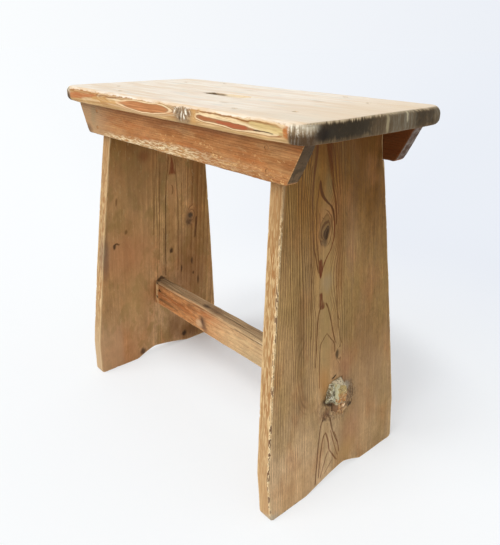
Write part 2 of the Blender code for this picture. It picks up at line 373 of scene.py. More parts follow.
# ---- rough lumps of split wood: tenon ends and wedges ----
def hewn(name, bm, chops, roughness, seed):
    """A block chopped by planes, then skinned finely and broken up along its grain."""
    for point, direction in chops:
        cut = bmesh.ops.bisect_plane(bm, geom=bm.verts[:] + bm.edges[:] + bm.faces[:], plane_co=point,
                                     plane_no=direction, clear_outer=True)["geom_cut"]
        bmesh.ops.holes_fill(bm, edges=[item for item in cut if isinstance(item, bmesh.types.BMEdge)])
    lump = finish_piece(name, bm)
    skin = lump.modifiers.new("skin", "REMESH")
    skin.mode, skin.voxel_size = "VOXEL", skin_mesh
    settle(lump)
    bm = bmesh.new()
    bm.from_mesh(lump.data)
    for _ in range(2):
        bmesh.ops.smooth_vert(bm, verts=bm.verts, factor=0.5, use_axis_x=True, use_axis_y=True, use_axis_z=True)
    bm.normal_update()
    for vert in bm.verts:
        fibre = Vector([a * b for a, b in zip(vert.co, fibre_scale)]) + Vector((seed, 0, seed))
        split = max(0.0, noise.noise(fibre)) ** 2
        vert.co += vert.normal * roughness * (worn(vert.co, 230, 1.3, seed) - 1.2 * split)
    bm.to_mesh(lump.data)
    bm.free()
    lump.data.shade_smooth()
    return lump


def make_tenon_end(name, end):
    """The end of the stretcher outside a leg: hewn with a blade, cracked across near the bottom."""
    half = stretcher_half_thickness - joint_gap
    low, high = stretcher_bottom + joint_gap, stretcher_top - joint_gap
    face = leg_face((low + high) / 2)
    stop = face + tenon_stand_out + 0.0004
    inside, outside = sorted((end * (face - 0.010), end * stop))
    chops = [((end * stop, -0.006, high - 0.0006), (end * 0.46, 0.36, 0.81)),
             ((end * stop, half - 0.0020, high - 0.010), (end * 0.45, 0.80, 0.40)),
             ((end * stop, -half + 0.0016, low), (end * 0.72, -0.69, 0.06)),
             ((end * (stop - 0.0006), half, low + 0.014), (end * 0.90, 0.42, -0.10)),
             ((end * (stop - 0.0012), 0, low), (end * 0.86, 0.10, -0.50))]
    lump = hewn(name, block((inside, -half, low), (outside, half, high)), chops, tenon_roughness, 41.0 + end)
    near, far = sorted((end * (face + 0.003), end * (stop + 0.01)))
    crack = block((near, -0.02, -0.0005), (far, 0.0065, 0.0005))
    bmesh.ops.rotate(crack, verts=crack.verts, cent=(end * face, 0, 0), matrix=Matrix.Rotation(-0.20, 3, "X"))
    bmesh.ops.translate(crack, verts=crack.verts, vec=(0, 0, low + 0.0115))
    combine(lump, "DIFFERENCE", finish_piece("crack_plug", crack))
    return lump


def make_wedge(name, end):
    """The wedge beside the front of a tenon: narrow above, its struck head spread and crushed below."""
    near = -(stretcher_half_thickness + joint_gap)
    low, high = stretcher_top - wedge_bottom_drop, stretcher_top - wedge_top_drop
    spread_below, spread_above, crushed_zone, crushed_out, crushed_up = 0.0058, 0.0046, 0.005, 0.0085, 0.0080
    inside, outside = sorted((end * (leg_face(low) - leg_span + 0.003), end * (leg_face(low) + 0.0004)))
    foot = end * leg_face(low)
    bm = block((inside, near - wedge_width, low), (outside, near, high))
    head = [face for face in bm.faces if face.normal.x * end > 0.9]
    for vert in only_verts(bmesh.ops.extrude_face_region(bm, geom=head)["geom"]):
        below = vert.co.z < (low + high) / 2
        vert.co.x = foot + end * (spread_below if below else spread_above)
        if below and vert.co.y < near - crushed_zone:
            vert.co.y -= crushed_out
            vert.co.z += crushed_up
    bmesh.ops.delete(bm, geom=head, context="FACES_KEEP_BOUNDARY")
    bmesh.ops.recalc_face_normals(bm, faces=bm.faces)
    chops = [((0, near - 0.0024, high), (0, -0.86, 0.51)),
             ((foot + end * 0.0052, near - 0.009, low), (end * 0.84, -0.48, -0.24)),
             ((end * (leg_face(high) + 0.0026), near, high - 0.0015), (end * 0.45, -0.10, 0.88))]
    return hewn(name, bm, chops, wedge_roughness, 57.0 + end)


# ---- nails ----
def nail_place(node):
    """Head, direction inward, the turn that points +Z inward, and length of a packed nail."""
    low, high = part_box(node)
    head = [(a + b) / 2 for a, b in zip(low, high)]
    axis = 2 if node.startswith("seat") else 1
    side = 1 if axis == 2 else math.copysign(1, head[1])
    head[axis] = (high if side > 0 else low)[axis] - side * nail_sink
    inward = Vector((0, 0, 0))
    inward[axis] = -side
    turn = Vector((0, 0, 1)).rotation_difference(inward).to_matrix().to_4x4()
    return Vector(head), inward, turn, high[axis] - low[axis]


def make_nail(name, node):
    """A nail turned from its profile: domed head, straight shank, point."""
    head, _, turn, length = nail_place(node)
    outline = nail_profile + [(radius, length - short) for radius, short in nail_point]
    bm = bmesh.new()
    line = [bm.verts.new((radius, 0, depth)) for radius, depth in outline]
    edges = [bm.edges.new(pair) for pair in zip(line, line[1:])]
    bmesh.ops.spin(bm, geom=line + edges, cent=(0, 0, 0), axis=(0, 0, 1), angle=math.tau, steps=18,
                   use_merge=True, use_duplicate=False)
    bmesh.ops.remove_doubles(bm, verts=bm.verts, dist=0.000002)
    bmesh.ops.transform(bm, matrix=Matrix.Translation(head) @ turn, verts=bm.verts)
    return finish_piece(name, bm)


def sink_heads(board, nodes):
    """The small hollows in which a board's nail heads sit."""
    bm = bmesh.new()
    for node in nodes:
        head, inward, turn, _ = nail_place(node)
        bmesh.ops.create_cone(bm, cap_ends=True, segments=18, radius1=hollow_mouth, radius2=hollow_floor,
                              depth=hollow_tool,
                              matrix=Matrix.Translation(head - inward * (hollow_tool / 2 - nail_hollow)) @ turn)
    combine(board, "DIFFERENCE", finish_piece("head_plugs", bm))


# ---- finishes ----
def light_of(colour):
    """A colour as it looks, 0 to 255 each, turned into the light that it gives back."""
    return tuple(((value / 255 + 0.055) / 1.055) ** 2.4 for value in colour) + (1.0,)


class Amount:
    """What a shader node gives, place by place, with the sums that can be done on it."""

    def __init__(self, paint, socket):
        self.paint, self.socket = paint, socket

    def __add__(self, other):
        return self.paint.maths("ADD", self, other)

    def __sub__(self, other):
        return self.paint.maths("SUBTRACT", self, other)

    def __rsub__(self, other):
        return self.paint.maths("SUBTRACT", other, self)

    def __mul__(self, other):
        return self.paint.maths("MULTIPLY", self, other)

    def __truediv__(self, other):
        return self.paint.maths("DIVIDE", self, other)

    def __abs__(self):
        return self.paint.maths("ABSOLUTE", self)

    def other(self, output):
        """Another output of the same node."""
        return Amount(self.paint, self.socket.node.outputs[output])

    def line(self, low, high, start, stop, step="LINEAR"):
        """An even run from start to stop as this passes from low to high."""
        return self.paint.put("ShaderNodeMapRange", {"Value": self, "From Min": low, "From Max": high,
                                                     "To Min": start, "To Max": stop}, interpolation_type=step)

    def ease(self, low, high, start=0.0, stop=1.0):
        """The same, as a soft step."""
        return self.line(low, high, start, stop, "SMOOTHSTEP")

    def profile(self, points):
        """A smooth curve through (value, result) points."""
        low, high = points[0][0], points[-1][0]
        bottom, top = [pick(result for _, result in points) for pick in (min, max)]
        if top == bottom:
            return top
        curve = self.paint.put("ShaderNodeFloatCurve", {"Value": self.line(low, high, 0, 1)})
        mapping = curve.socket.node.mapping
        spots = [((x - low) / (high - low), (result - bottom) / (top - bottom)) for x, result in points]
        mapping.curves[0].points[0].location = spots[0]
        mapping.curves[0].points[-1].location = spots[-1]
        for spot in spots[1:-1]:
            mapping.curves[0].points.new(*spot)
        mapping.update()
        return self.paint.maths("MULTIPLY_ADD", curve, top - bottom, bottom)


class Mixing:
    """Puts shader nodes into one tree, each fed by numbers, colours or other nodes."""

    def __init__(self, tree):
        self.tree = tree

    def put(self, kind, sockets=(), give=0, **settings):
        """A new node; what it gives is the output of this name or number."""
        node = self.tree.nodes.new(kind)
        for key, value in settings.items():
            setattr(node, key, value)
        for key, value in dict(sockets).items():
            self.feed(node.inputs[key], value)
        return Amount(self, node.outputs[give])

    def feed(self, socket, value):
        """Link a socket to what a node gives, or set it."""
        if isinstance(value, Amount):
            self.tree.links.new(value.socket, socket)
        else:
            socket.default_value = value

    def maths(self, work, first, second=0.0, third=0.0):
        return self.put("ShaderNodeMath", {0: first, 1: second, 2: third}, operation=work)

    def vector_maths(self, work, give, *parts):
        return self.put("ShaderNodeVectorMath", dict(enumerate(parts)), give, operation=work)

    def triple(self, first, second, third):
        return self.put("ShaderNodeCombineXYZ", {0: first, 1: second, 2: third})

    def mix(self, first, second, amount, how="MIX"):
        """Colours are given as they look, or as what a node gives."""
        first, second = [light_of(colour) if isinstance(colour, tuple) else colour for colour in (first, second)]
        return self.put("ShaderNodeMix", {0: amount, 6: first, 7: second}, 2, data_type="RGBA", blend_type=how)


class Finish(Mixing):
    """Builds up one finish, coat on coat.  Lengths are in millimetres: along the grain, over the
    board's width, and deep into it from the face that shows most."""

    def __init__(self, name, along, over, deep, zero):
        self.material = bpy.data.materials.new(name)
        self.material.use_nodes = True
        super().__init__(self.material.node_tree)
        self.shader = self.tree.nodes["Principled BSDF"]
        spots = self.put("ShaderNodeTexCoord", give="Object")
        facing = self.put("ShaderNodeSeparateXYZ", {0: spots.other("Normal")})
        self.facing = [facing.other(axis) for axis in range(3)]
        self.along, self.over, self.deep = [
            self.vector_maths("DOT_PRODUCT", "Value", spots, [1000 * part for part in direction]) - start
            for direction, start in zip((along, over, deep), zero)]
        self.place = self.triple(self.along, self.over, self.deep)
        sway = self.cloud(26, 9, 2, seed=4.4).other("Color")
        push = self.vector_maths("SUBTRACT", 0, sway, (0.5, 0.5, 0.5))
        self.ragged = self.vector_maths("MULTIPLY_ADD", 0, push, (14, 5, 5), self.place)
        self.arris = self.put("ShaderNodeAttribute", give="Fac", attribute_name="arris")
        self.across = self.over + self.cloud(34, 10, 2, 0.6, seed=8.2).line(0.25, 0.75, -0.5, 0.5)
        self.height = 0.0

    def cloud(self, length, width, detail, rough=0.5, seed=0.0, source=None):
        """Patches about this long and wide, in millimetres."""
        where = self.put("ShaderNodeMapping", {"Vector": source or self.place,
                                               "Location": (seed, seed * 1.7, seed * 2.3),
                                               "Scale": (1 / length, 1 / width, 1 / width)})
        return self.put("ShaderNodeTexNoise", {"Vector": where, "Scale": 1.0, "Detail": detail, "Roughness": rough})

    def patches(self, length, width, low=0.4, high=0.6, detail=2.0, rough=0.5, seed=0.0, stop=1.0):
        """The same with an edge, from nothing at the low level to this much at the high one."""
        return self.cloud(length, width, detail, rough, seed).ease(low, high, 0.0, stop)

    def mottles(self, *rows, where=None):
        """Rows of colour, strength, seed and patches: length, width, low, high, detail and roughness."""
        for colour, strength, seed, *cloud in rows:
            patches = self.patches(*cloud, seed=seed, stop=strength)
            self.coat(colour, patches if where is None else where * patches)

    def away(self, centre, half, turn=0.0, source=None):
        """Distance from a spot, 1 at the rim of an oval of these half sizes."""
        where = self.put("ShaderNodeMapping", {"Vector": source or self.ragged, "Location": centre,
                                               "Rotation": (0, 0, math.radians(turn)), "Scale": half},
                         vector_type="TEXTURE")
        return self.vector_maths("LENGTH", "Value", where)

    def spot(self, centre, half, turn=0.0, soft=0.4, strength=1.0):
        """A blot: centre and half sizes along, over and deep."""
        return self.away(centre, half, turn).ease(1 - soft, 1 + soft, strength, 0.0)

    def stroke(self, points, across):
        """A line drawn along the grain through (along, across, half width) points."""
        points = sorted(points)
        fade = 1.5
        middle, half = [self.along.profile([(point[0], point[part]) for point in points]) for part in (1, 2)]
        line = (abs(across - middle) / half).ease(0.6, 1.4, 1, 0)
        line = line * self.along.ease(points[0][0] - fade, points[0][0] + fade)
        return line * self.along.ease(points[-1][0] + fade, points[-1][0] - fade)

    def strokes(self, across, where, *rows):
        """Rows of colour, strength and the points of a line."""
        where = where * self.cloud(14, 1.2, 3, 0.6, seed=13.7).ease(0.30, 0.52, 0.4, 1)
        for colour, strength, *points in rows:
            self.coat(colour, self.stroke(points, across) * (where * strength))

    def lens(self, middle, warp, tall, across, table, where):
        """Growth layers worn through round a lens of this middle line and half height.  The warp gives
        -1 and 1 at its two ends; rows of reach, strength and colour run from the outside inwards."""
        high = (across - self.along.profile(middle)) / tall
        long = self.along.profile(warp)
        rim = self.maths("SQRT", long * long + high * high)
        for reach, strength, colour in table:
            self.coat(colour, where * rim.ease(reach + 0.04, reach - 0.04, 0, strength))

    def coat(self, colour, amount):
        self.colour = self.mix(self.colour, colour, amount)

    def wash(self, red, green, blue, amount):
        """Lighten or darken by these shares."""
        self.colour = self.mix(self.colour, [red, green, blue, 1], amount, "MULTIPLY")

    def stains(self, thick, *rows, where=None):
        """Rows of colour, strength, centre along and over, half length, half width and softness, and
        where it matters turn, depth and half depth, which is else this thick."""
        for colour, strength, along, over, length, width, soft, *rest in rows:
            turn, deep, half = rest + [0, 0, thick][len(rest):]
            spot = self.spot((along, over, deep), (length, width, half), turn, soft, strength)
            self.coat(colour, spot if where is None else where * spot)

    def tone(self, value, amount):
        """Lighten and darken the colour by this share as the value runs from 0.25 to 0.75."""
        level = value.line(0.25, 0.75, 1 - amount, 1 + amount)
        self.colour = self.mix(self.colour, self.triple(level, level, level), 1.0, "MULTIPLY")

    def dent(self, amount, by):
        """Raise (or with less than nothing, sink) the surface by this many millimetres."""
        self.height = self.maths("MULTIPLY_ADD", amount, by, self.height)

    def by_year(self, value):
        """Slow chance from one year's ring to the next."""
        return self.put("ShaderNodeTexNoise", {"W": value, "Scale": 1.0, "Detail": 1.0}, noise_dimensions="1D")

    def growth_rings(self, centre, depth, spread, spacing, knots=(), flat=40, uneven=2.0, steady=0.45):
        """How dark the growth ring is here, 0 to 1, round a pith that wanders beside the board."""
        bend = self.cloud(300, 60, 1, seed=9.1).line(0.3, 0.7, -1.5, 1.5)
        middle = sum(place for _, place in centre) / len(centre)
        aside = self.across - middle
        near = abs(aside).ease(8, 30, 1, 0.12)
        pith = (self.along.profile(centre) - middle) * near
        aside = abs(aside - pith + bend).profile(spread)
        wander = self.along.profile(depth) - flat
        behind = self.deep + flat + wander * aside.ease(12, 60, 1, 0)
        radius = self.maths("SQRT", aside * aside + behind * behind)
        for place, half, lift in knots:
            radius = radius + self.away(place, half, source=self.place).ease(0, 1, lift, 0)
        radius = radius + self.by_year(radius * 0.11).line(0.25, 0.75, -uneven, uneven)
        number = radius / spacing
        late = self.maths("FRACT", number).profile([(0, 0.12), (0.10, 0.0), (0.45, 0.08), (0.72, 0.38),
                                                    (0.88, 1.0), (0.95, 0.85), (1.0, 0.12)])
        each = self.by_year(number * 0.83)
        self.early = self.maths("FRACT", number).profile([(0, 0.6), (0.1, 1.0), (0.3, 0.35), (0.6, 0.0),
                                                          (0.85, 0.0), (1.0, 0.6)])
        return late * each.line(0.3, 0.7, steady, 1.05)

    def fibres(self, amount=0.17, length=70, width=1.0):
        """Fine streaks and short dark pores along the grain, and a faint cloudiness."""
        fine = self.cloud(length, width, 3, 0.65, seed=6.3)
        self.tone(fine, amount)
        for share, *cloud in ((0.9, 13, 8, 3, 0.65, 5.2), (0.75, 4.0, 1.3, 2, 0.6, 15.2), (0.8, 70, 30, 2, 0.5, 2.7)):
            self.tone(self.cloud(*cloud), amount * share)
        pores = self.patches(9, 0.8, 0.62, 0.70, 2, 0.5, seed=7.9)
        self.wash(0.62, 0.56, 0.50, pores * 0.8)
        self.dent(fine, 0.16)
        self.dent(pores, -0.10)

    def done(self, rough, rougher=0.12, gloss=0.12):
        """Close the finish: colour, dulled here and there, and the relief."""
        inputs = self.shader.inputs
        self.feed(inputs["Base Color"], self.colour)
        dull = self.cloud(60, 14, 2, seed=11.5).line(0.3, 0.7, rough - rougher, rough + rougher)
        self.feed(inputs["Roughness"], dull)
        self.feed(inputs["Specular IOR Level"], gloss)
        self.feed(inputs["Normal"], self.put("ShaderNodeBump", {"Height": self.height, "Strength": 1.0,
                                                                "Distance": 0.001}))
        return self.material


def end_grain(wood, axis):
    """1 on the faces that cut across the grain."""
    return abs(wood.facing[axis]).ease(0.55, 0.85)


def rubbed_arris(wood, colour, amount, low=0.95, high=1.25):
    """Pale wear where hands and feet have rubbed the arrises."""
    wear = wood.arris + wood.cloud(22, 7, 3, 0.6, seed=3.9)
    wood.coat(colour, wear.ease(low, high, 0, amount))


def leg_finish(name, end, from_outside, rings, heart, heart_half, foot, middle, high, olive, warm, late_wood,
               strength, smooth, dull_side, clear_side):
    """Brown waxed pine of a leg, the grain upright; the foot is washed pale, the top darker with grime and painted
    shade under the seat.
    """
    inward = -1 if from_outside else 1
    start = leg_face_at_seat - (0 if from_outside else leg_span) + seat_underside * leg_lean
    wood = Finish(name, (0, 0, 1), (0, 1, 0), (inward * end, 0, inward * leg_lean), (0, 0, inward * 1000 * start))
    wood.shown = wood.deep.ease(9.5, 8.5)
    late = wood.growth_rings(**rings)
    off = abs(wood.over - wood.along.profile(heart))
    ringed = 1 - wood.shown * off.ease(heart_half + 2.5, heart_half - 1)
    ringed = ringed * (1 - wood.shown * wood.over.ease(*smooth, 0, 0.65))
    clear = wood.along.ease(100, 280, 0.3, 1) * (wood.shown * wood.over.ease(*clear_side))
    late = late * ringed * clear.line(0, 1, 1, 1.35)
    early = wood.early * ringed * wood.patches(120, 16, 0.3, 0.6, 2, seed=18.8)
    # From the pale foot to the dark top: partly wash and grime, partly painted shade under the seat.
    height = wood.along + wood.cloud(120, 60, 2, seed=3.2).line(0.3, 0.7, -45, 45)
    wood.colour = wood.mix(foot, middle, height.ease(20, 230))
    wood.coat(high, height.ease(230, 410))
    wood.wash(0.74, 0.7, 0.62, wood.over.ease(*dull_side))
    wood.mottles((olive, 0.4, 1.3, 110, 40, 0.44, 0.66, 3), (warm, 0.4, 7.7, 60, 34, 0.48, 0.68, 3))
    wood.wash(1.09, 1.09, 1.09, clear)
    fading = height.ease(40, 300, 0.5, 1)
    # Paler earlywood lines, partly painted highlight where the raised grain catches the light.
    wood.wash(1.42, 1.44, 1.46, early * (fading * 0.9))
    wood.coat(late_wood, late * (fading * strength))
    # Fine pale streaks along the grain, partly painted highlight on the raised grain.
    wood.wash(1.22, 1.24, 1.26, wood.patches(90, 1.5, 0.56, 0.66, 2, 0.5, seed=17.1) * clear.line(0, 1, 1, 0.3))
    wood.dent(late, 0.22)
    wood.fibres()
    wood.tone(wood.cloud(26, 0.75, 2, 0.5, seed=28.3), 0.1)
    return wood


def leg_edges(wood, pale, amount):
    """Pale front and rear edges, streaked along the grain, and worn arrises."""
    side = abs(wood.facing[1]).ease(0.5, 0.85)
    streak = wood.mix(pale, (160, 108, 60), wood.patches(240, 1.9, 0.42, 0.6, 2, 0.4, seed=6.6, stop=0.85))
    streak = wood.mix(streak, (224, 194, 144), wood.patches(180, 1.3, 0.5, 0.6, 2, 0.4, seed=16.6, stop=0.8))
    streak = wood.mix(streak, pale, wood.along.ease(140, 60, 0, 0.6))
    streak = wood.mix(streak, (172, 132, 88), wood.along.ease(300, 380, 0, 0.75))
    wood.coat(streak, side * amount)
    rubbed_arris(wood, (216, 184, 136), 0.6)


def right_leg_finish():
    """Flames and knots round the heart, torn wood and a struck wedge at the mortise, a chipped front arris."""
    wood = leg_finish("brown_pine_right", 1, True, dict(
        centre=[(0, -27), (98, -21), (204, -18), (277, -28), (327, -21), (380, -28), (430, -24)],
        depth=[(0, 20), (98, 30), (204, 39.6), (256, 46.9), (277, 46.7), (327, 37), (380, 46.9), (430, 57)],
        spread=[(0, 0), (4, 12), (10, 26), (20, 38), (40, 54), (70, 78), (120, 118)], spacing=1.75,
        knots=[((173, 0, 0), (20, 9, 30), 5)], uneven=0.8, steady=0.75),
        heart=[(0, -26), (98, -20), (204, -18), (262, -26), (327, -21), (380, -27), (430, -24)], heart_half=11,
        foot=(208, 174, 132), middle=(172, 136, 88), high=(132, 92, 40), olive=(150, 122, 70),
        warm=(170, 116, 70), late_wood=(86, 54, 26), strength=0.66, smooth=(6, 40), dull_side=(-14, 26),
        clear_side=(-28, -44))
    red, brown = (104, 50, 20), (98, 60, 28)
    wood.stains(9,
        ((160, 132, 84), 0.5, 205, -20, 150, 9, 0.5),
        ((128, 78, 36), 0.45, 345, 2, 34, 6, 0.8),
        ((132, 80, 40), 0.45, 275, 3, 34, 7, 0.8),
        ((122, 104, 66), 0.5, 372, -14, 14, 5, 0.7),
        ((162, 140, 108), 0.45, 268, -17, 10, 8, 0.7),
        ((168, 128, 100), 0.16, 315, 24, 40, 10, 0.8),
        ((168, 112, 86), 0.35, 152, 16, 24, 12, 0.8),
        ((166, 108, 76), 0.4, 52, 26, 30, 18, 0.8),
        ((190, 150, 92), 0.45, 30, 18, 14, 16, 0.8),
        ((112, 84, 50), 0.35, 230, -58, 26, 7, 0.8),
        ((104, 72, 34), 0.25, 330, -62, 120, 14, 0.8),
        ((150, 108, 72), 0.3, 120, 60, 60, 30, 0.8),
        ((120, 92, 60), 0.3, 140, -60, 34, 12, 0.8, 30),
        ((196, 148, 92), 0.35, 24, -70, 26, 30, 0.8, 0, 0, 30),
        # Darker top of the leg: partly grime, partly painted shade under the seat.
        ((96, 60, 28), 0.45, 420, 10, 22, 60, 0.9))
    wood.strokes(wood.across, wood.shown,
        (brown, 0.9, (426, -30, 2.2), (401, -34.5, 1.9), (381, -38, 1.5), (358, -39.5, 1.1), (321, -39, 0.9),
            (300, -35.5, 1.0), (282, -31, 1.0)),
        (brown, 0.6, (398, -37.5, 0.9), (379, -42, 0.9), (343, -43.5, 0.8), (300, -42.5, 0.8), (208, -44, 0.8)),
        ((92, 48, 10), 0.85, (430, -16, 4.6), (415, -13.8, 4.4), (400, -11.6, 3.6), (386, -9.4, 2.4), (373, -8, 1.5),
            (351, -3.6, 1.2), (330, -2.7, 0.9)),
        (brown, 0.7, (430, -8, 0.9), (400, -4.6, 1.0), (370, -1.6, 0.9), (340, 1, 0.7)),
        (brown, 0.6, (430, -1, 0.9), (400, 1.4, 0.9), (360, 3.6, 0.7)),
        (brown, 0.85, (381, -27.9, 0.8), (367, -31, 0.9), (354, -33.4, 0.8), (330, -34.4, 0.7), (309, -32.9, 0.8),
            (288, -29.9, 0.9), (277, -28, 0.8)),
        (red, 0.95, (381, -27.5, 0.9), (374, -27, 2.0), (368, -25.2, 2.4), (361, -21.5, 1.5), (355, -15, 1.4),
            (350, -10, 1.4), (342, -6.8, 1.1), (322, -5.8, 1.0), (308, -9.8, 0.9), (298, -17.5, 1.0),
            (288, -23.5, 1.1), (278, -27.2, 0.8)),
        (red, 0.95, (297, -28, 0.5), (290, -28, 3.4), (283, -28, 2.6), (275, -28, 0.6)),
        (red, 0.95, (258, -28, 2.6), (250, -27, 2.9), (243, -26, 4.2), (238, -25, 1.0)),
        (brown, 0.8, (348, -28.8, 0.9), (338, -29, 0.9), (322, -28.6, 0.8), (312, -25, 0.9)),
        (brown, 0.7, (350, -22.6, 0.9), (345, -14, 0.9), (335, -9.5, 0.9), (320, -11, 0.8), (310, -17, 0.8)),
        (brown, 0.6, (342, -25, 0.9), (336, -18, 1.3), (329, -15, 0.9)),
        (brown, 0.9, (243, -24.5, 1.3), (237, -30.2, 1.2), (228, -32.7, 1.0), (213, -34.5, 0.9), (170, -37.5, 0.7)),
        (brown, 0.9, (244, -19.5, 1.2), (233, -14.4, 1.2), (221, -11, 1.0), (206, -7.5, 0.9), (189, -2.9, 0.8)),
        (brown, 0.75, (206, -17.8, 0.9), (200, -24.6, 1.1), (194, -28.8, 0.9), (177, -30.2, 0.8), (140, -30.7, 0.7)),
        (brown, 0.75, (206, -17.8, 0.9), (197, -10.9, 1.0), (188, -4.7, 1.0), (178, -4.2, 0.7)),
        (brown, 0.6, (222, 1, 0.8), (203, 3.4, 0.8), (184, 9, 0.8)),
        (brown, 0.6, (260, -1.5, 0.8), (235, -1, 0.8), (215, 5, 0.7)),
        (brown, 0.85, (100, -19.5, 1.4), (94, -26, 1.3), (83, -30, 1.0), (63, -33, 1.0), (8, -39.8, 0.9)),
        (brown, 0.8, (101, -19, 1.2), (92, -13, 1.4), (70, -7, 0.9), (50, 1, 0.8)),
        (brown, 0.85, (74, -20.4, 1.3), (67, -25.4, 1.2), (56, -27.7, 1.0), (15, -34.2, 0.9)),
        (red, 0.75, (74, -20.4, 1.2), (60, -15.8, 1.2), (47, -13.9, 1.1), (39, -9.5, 1.2), (24, 0, 1.0)),
        (red, 0.7, (68, -4.7, 0.9), (52, 1, 0.9), (33, 5, 0.8)),
        (red, 0.65, (73, -10.5, 0.9), (55, -6.4, 0.9), (30, 2, 0.8)),
        (red, 0.7, (45, -16, 1.1), (35, -21.3, 1.0), (13, -30.6, 0.9)),
        (red, 0.65, (28, -9, 1.2), (15, -23.2, 1.0)))
    wood.coat((92, 58, 26), wood.stroke([(381, -27.5, 0.6), (368, -25, 1.8), (358, -18, 1.6), (348, -9, 1.4),
        (335, -6.5, 1.0)], wood.across) * wood.shown)
    for sink, reach, strength, colour in ((0, 1.0, 0.6, (96, 62, 30)), (0, 0.88, 0.5, (148, 114, 66)),
        (1.4, 0.74, 0.75, (86, 54, 28)), (2.4, 0.6, 0.7, (142, 110, 66)), (4, 0.5, 0.9, (66, 44, 26)),
        (5, 0.42, 0.5, (110, 82, 50)), (6, 0.33, 0.9, (62, 42, 18))):
        away = wood.away((329 - sink, -20 + sink / 3, 0), (16, 9.6, 30), 14)
        wood.coat(colour, wood.shown * away.ease(reach + 0.05, reach - 0.05, 0, strength))
    for reach, strength in ((1.15, 0.25), (1.0, 0.4), (0.88, 0.3)):
        ring = abs(wood.away((168, -30, 0), (56, 36, 60)) - reach).ease(0.05, 0.0, 0, strength)
        wood.coat((104, 70, 42), wood.shown * ring * wood.over.ease(-48, -56))
    wood.stains(8,
        ((96, 74, 48), 0.7, 313, -22, 4, 5, 0.6, 0, 0, 12),
        ((74, 56, 34), 0.85, 173, 0, 5, 2.8, 0.5, 0, 0, 9),
        ((132, 104, 76), 0.75, 112, 18, 18, 11, 0.3, 12),
        ((186, 174, 150), 0.7, 124, 18, 6, 5, 0.4),
        ((166, 132, 96), 0.8, 108, 20, 8, 3.4, 0.4),
        ((74, 54, 38), 0.6, 106, 29, 12, 1.2, 0.5, 8),
        ((58, 42, 30), 0.85, 94, 24, 3, 3.4, 0.4),
        ((48, 34, 24), 0.9, 145.5, -4, 1.5, 3.6, 0.4),
        # Dark slanting mark under the wedge's crushed head: painted shadow.
        ((62, 44, 32), 0.9, 114, -14, 4.5, 13, 0.4, 28),
        ((128, 88, 60), 0.7, 101, -20, 7, 8, 0.6),
        ((170, 134, 94), 0.7, 97, -31, 5, 3, 0.5),
        ((90, 62, 42), 0.7, 93, -22, 2.4, 3.4, 0.5),
        ((186, 134, 80), 0.7, 95, 6, 7, 10, 0.5),
        ((226, 184, 136), 0.8, 92, 15, 2.2, 5, 0.4),
        ((180, 124, 64), 0.55, 146, -22, 18, 9, 0.7))
    torn = wood.patches(5, 2.2, 0.46, 0.6, 3, 0.7, seed=6.1) * wood.spot((108, 2, 0), (26, 34, 8), 0, 0.4, 0.6)
    wood.coat((84, 58, 38), torn)
    wood.coat((196, 172, 138), wood.patches(4, 2, 0.56, 0.64, 3, 0.7, seed=46.1)
        * wood.spot((108, 8, 0), (20, 26, 8), 0, 0.4, 0.7))
    wood.dent(torn, -0.8)
    leg_edges(wood, (180, 142, 96), 0.8)
    top_arris = wood.along.ease(290, 350) * (wood.arris.ease(0.15, 0.45) * wood.over.ease(-60, -70))
    wood.coat((150, 112, 68), top_arris * wood.deep.ease(9, 6, 0, 0.75))
    chips = wood.arris.ease(0.42, 0.66) * (wood.over.ease(-60, -70) * wood.deep.ease(8, 5.5))
    chips = chips * wood.along.profile([(0, 0.5), (30, 0.9), (90, 1), (170, 0.9), (330, 0.8), (362, 0.3),
        (430, 0.05)])
    broken = wood.cloud(10, 3.4, 2, 0.6, seed=8.8)
    wood.coat((236, 210, 164), chips * broken.ease(0.45, 0.48))
    wood.coat((98, 54, 24), chips * broken.ease(0.52, 0.55, 0, 0.9))
    wood.coat((190, 174, 150), wood.spot((3, -114, 0), (7, 10, 12), 0, 0.6, 0.75))
    return wood.done(0.66)


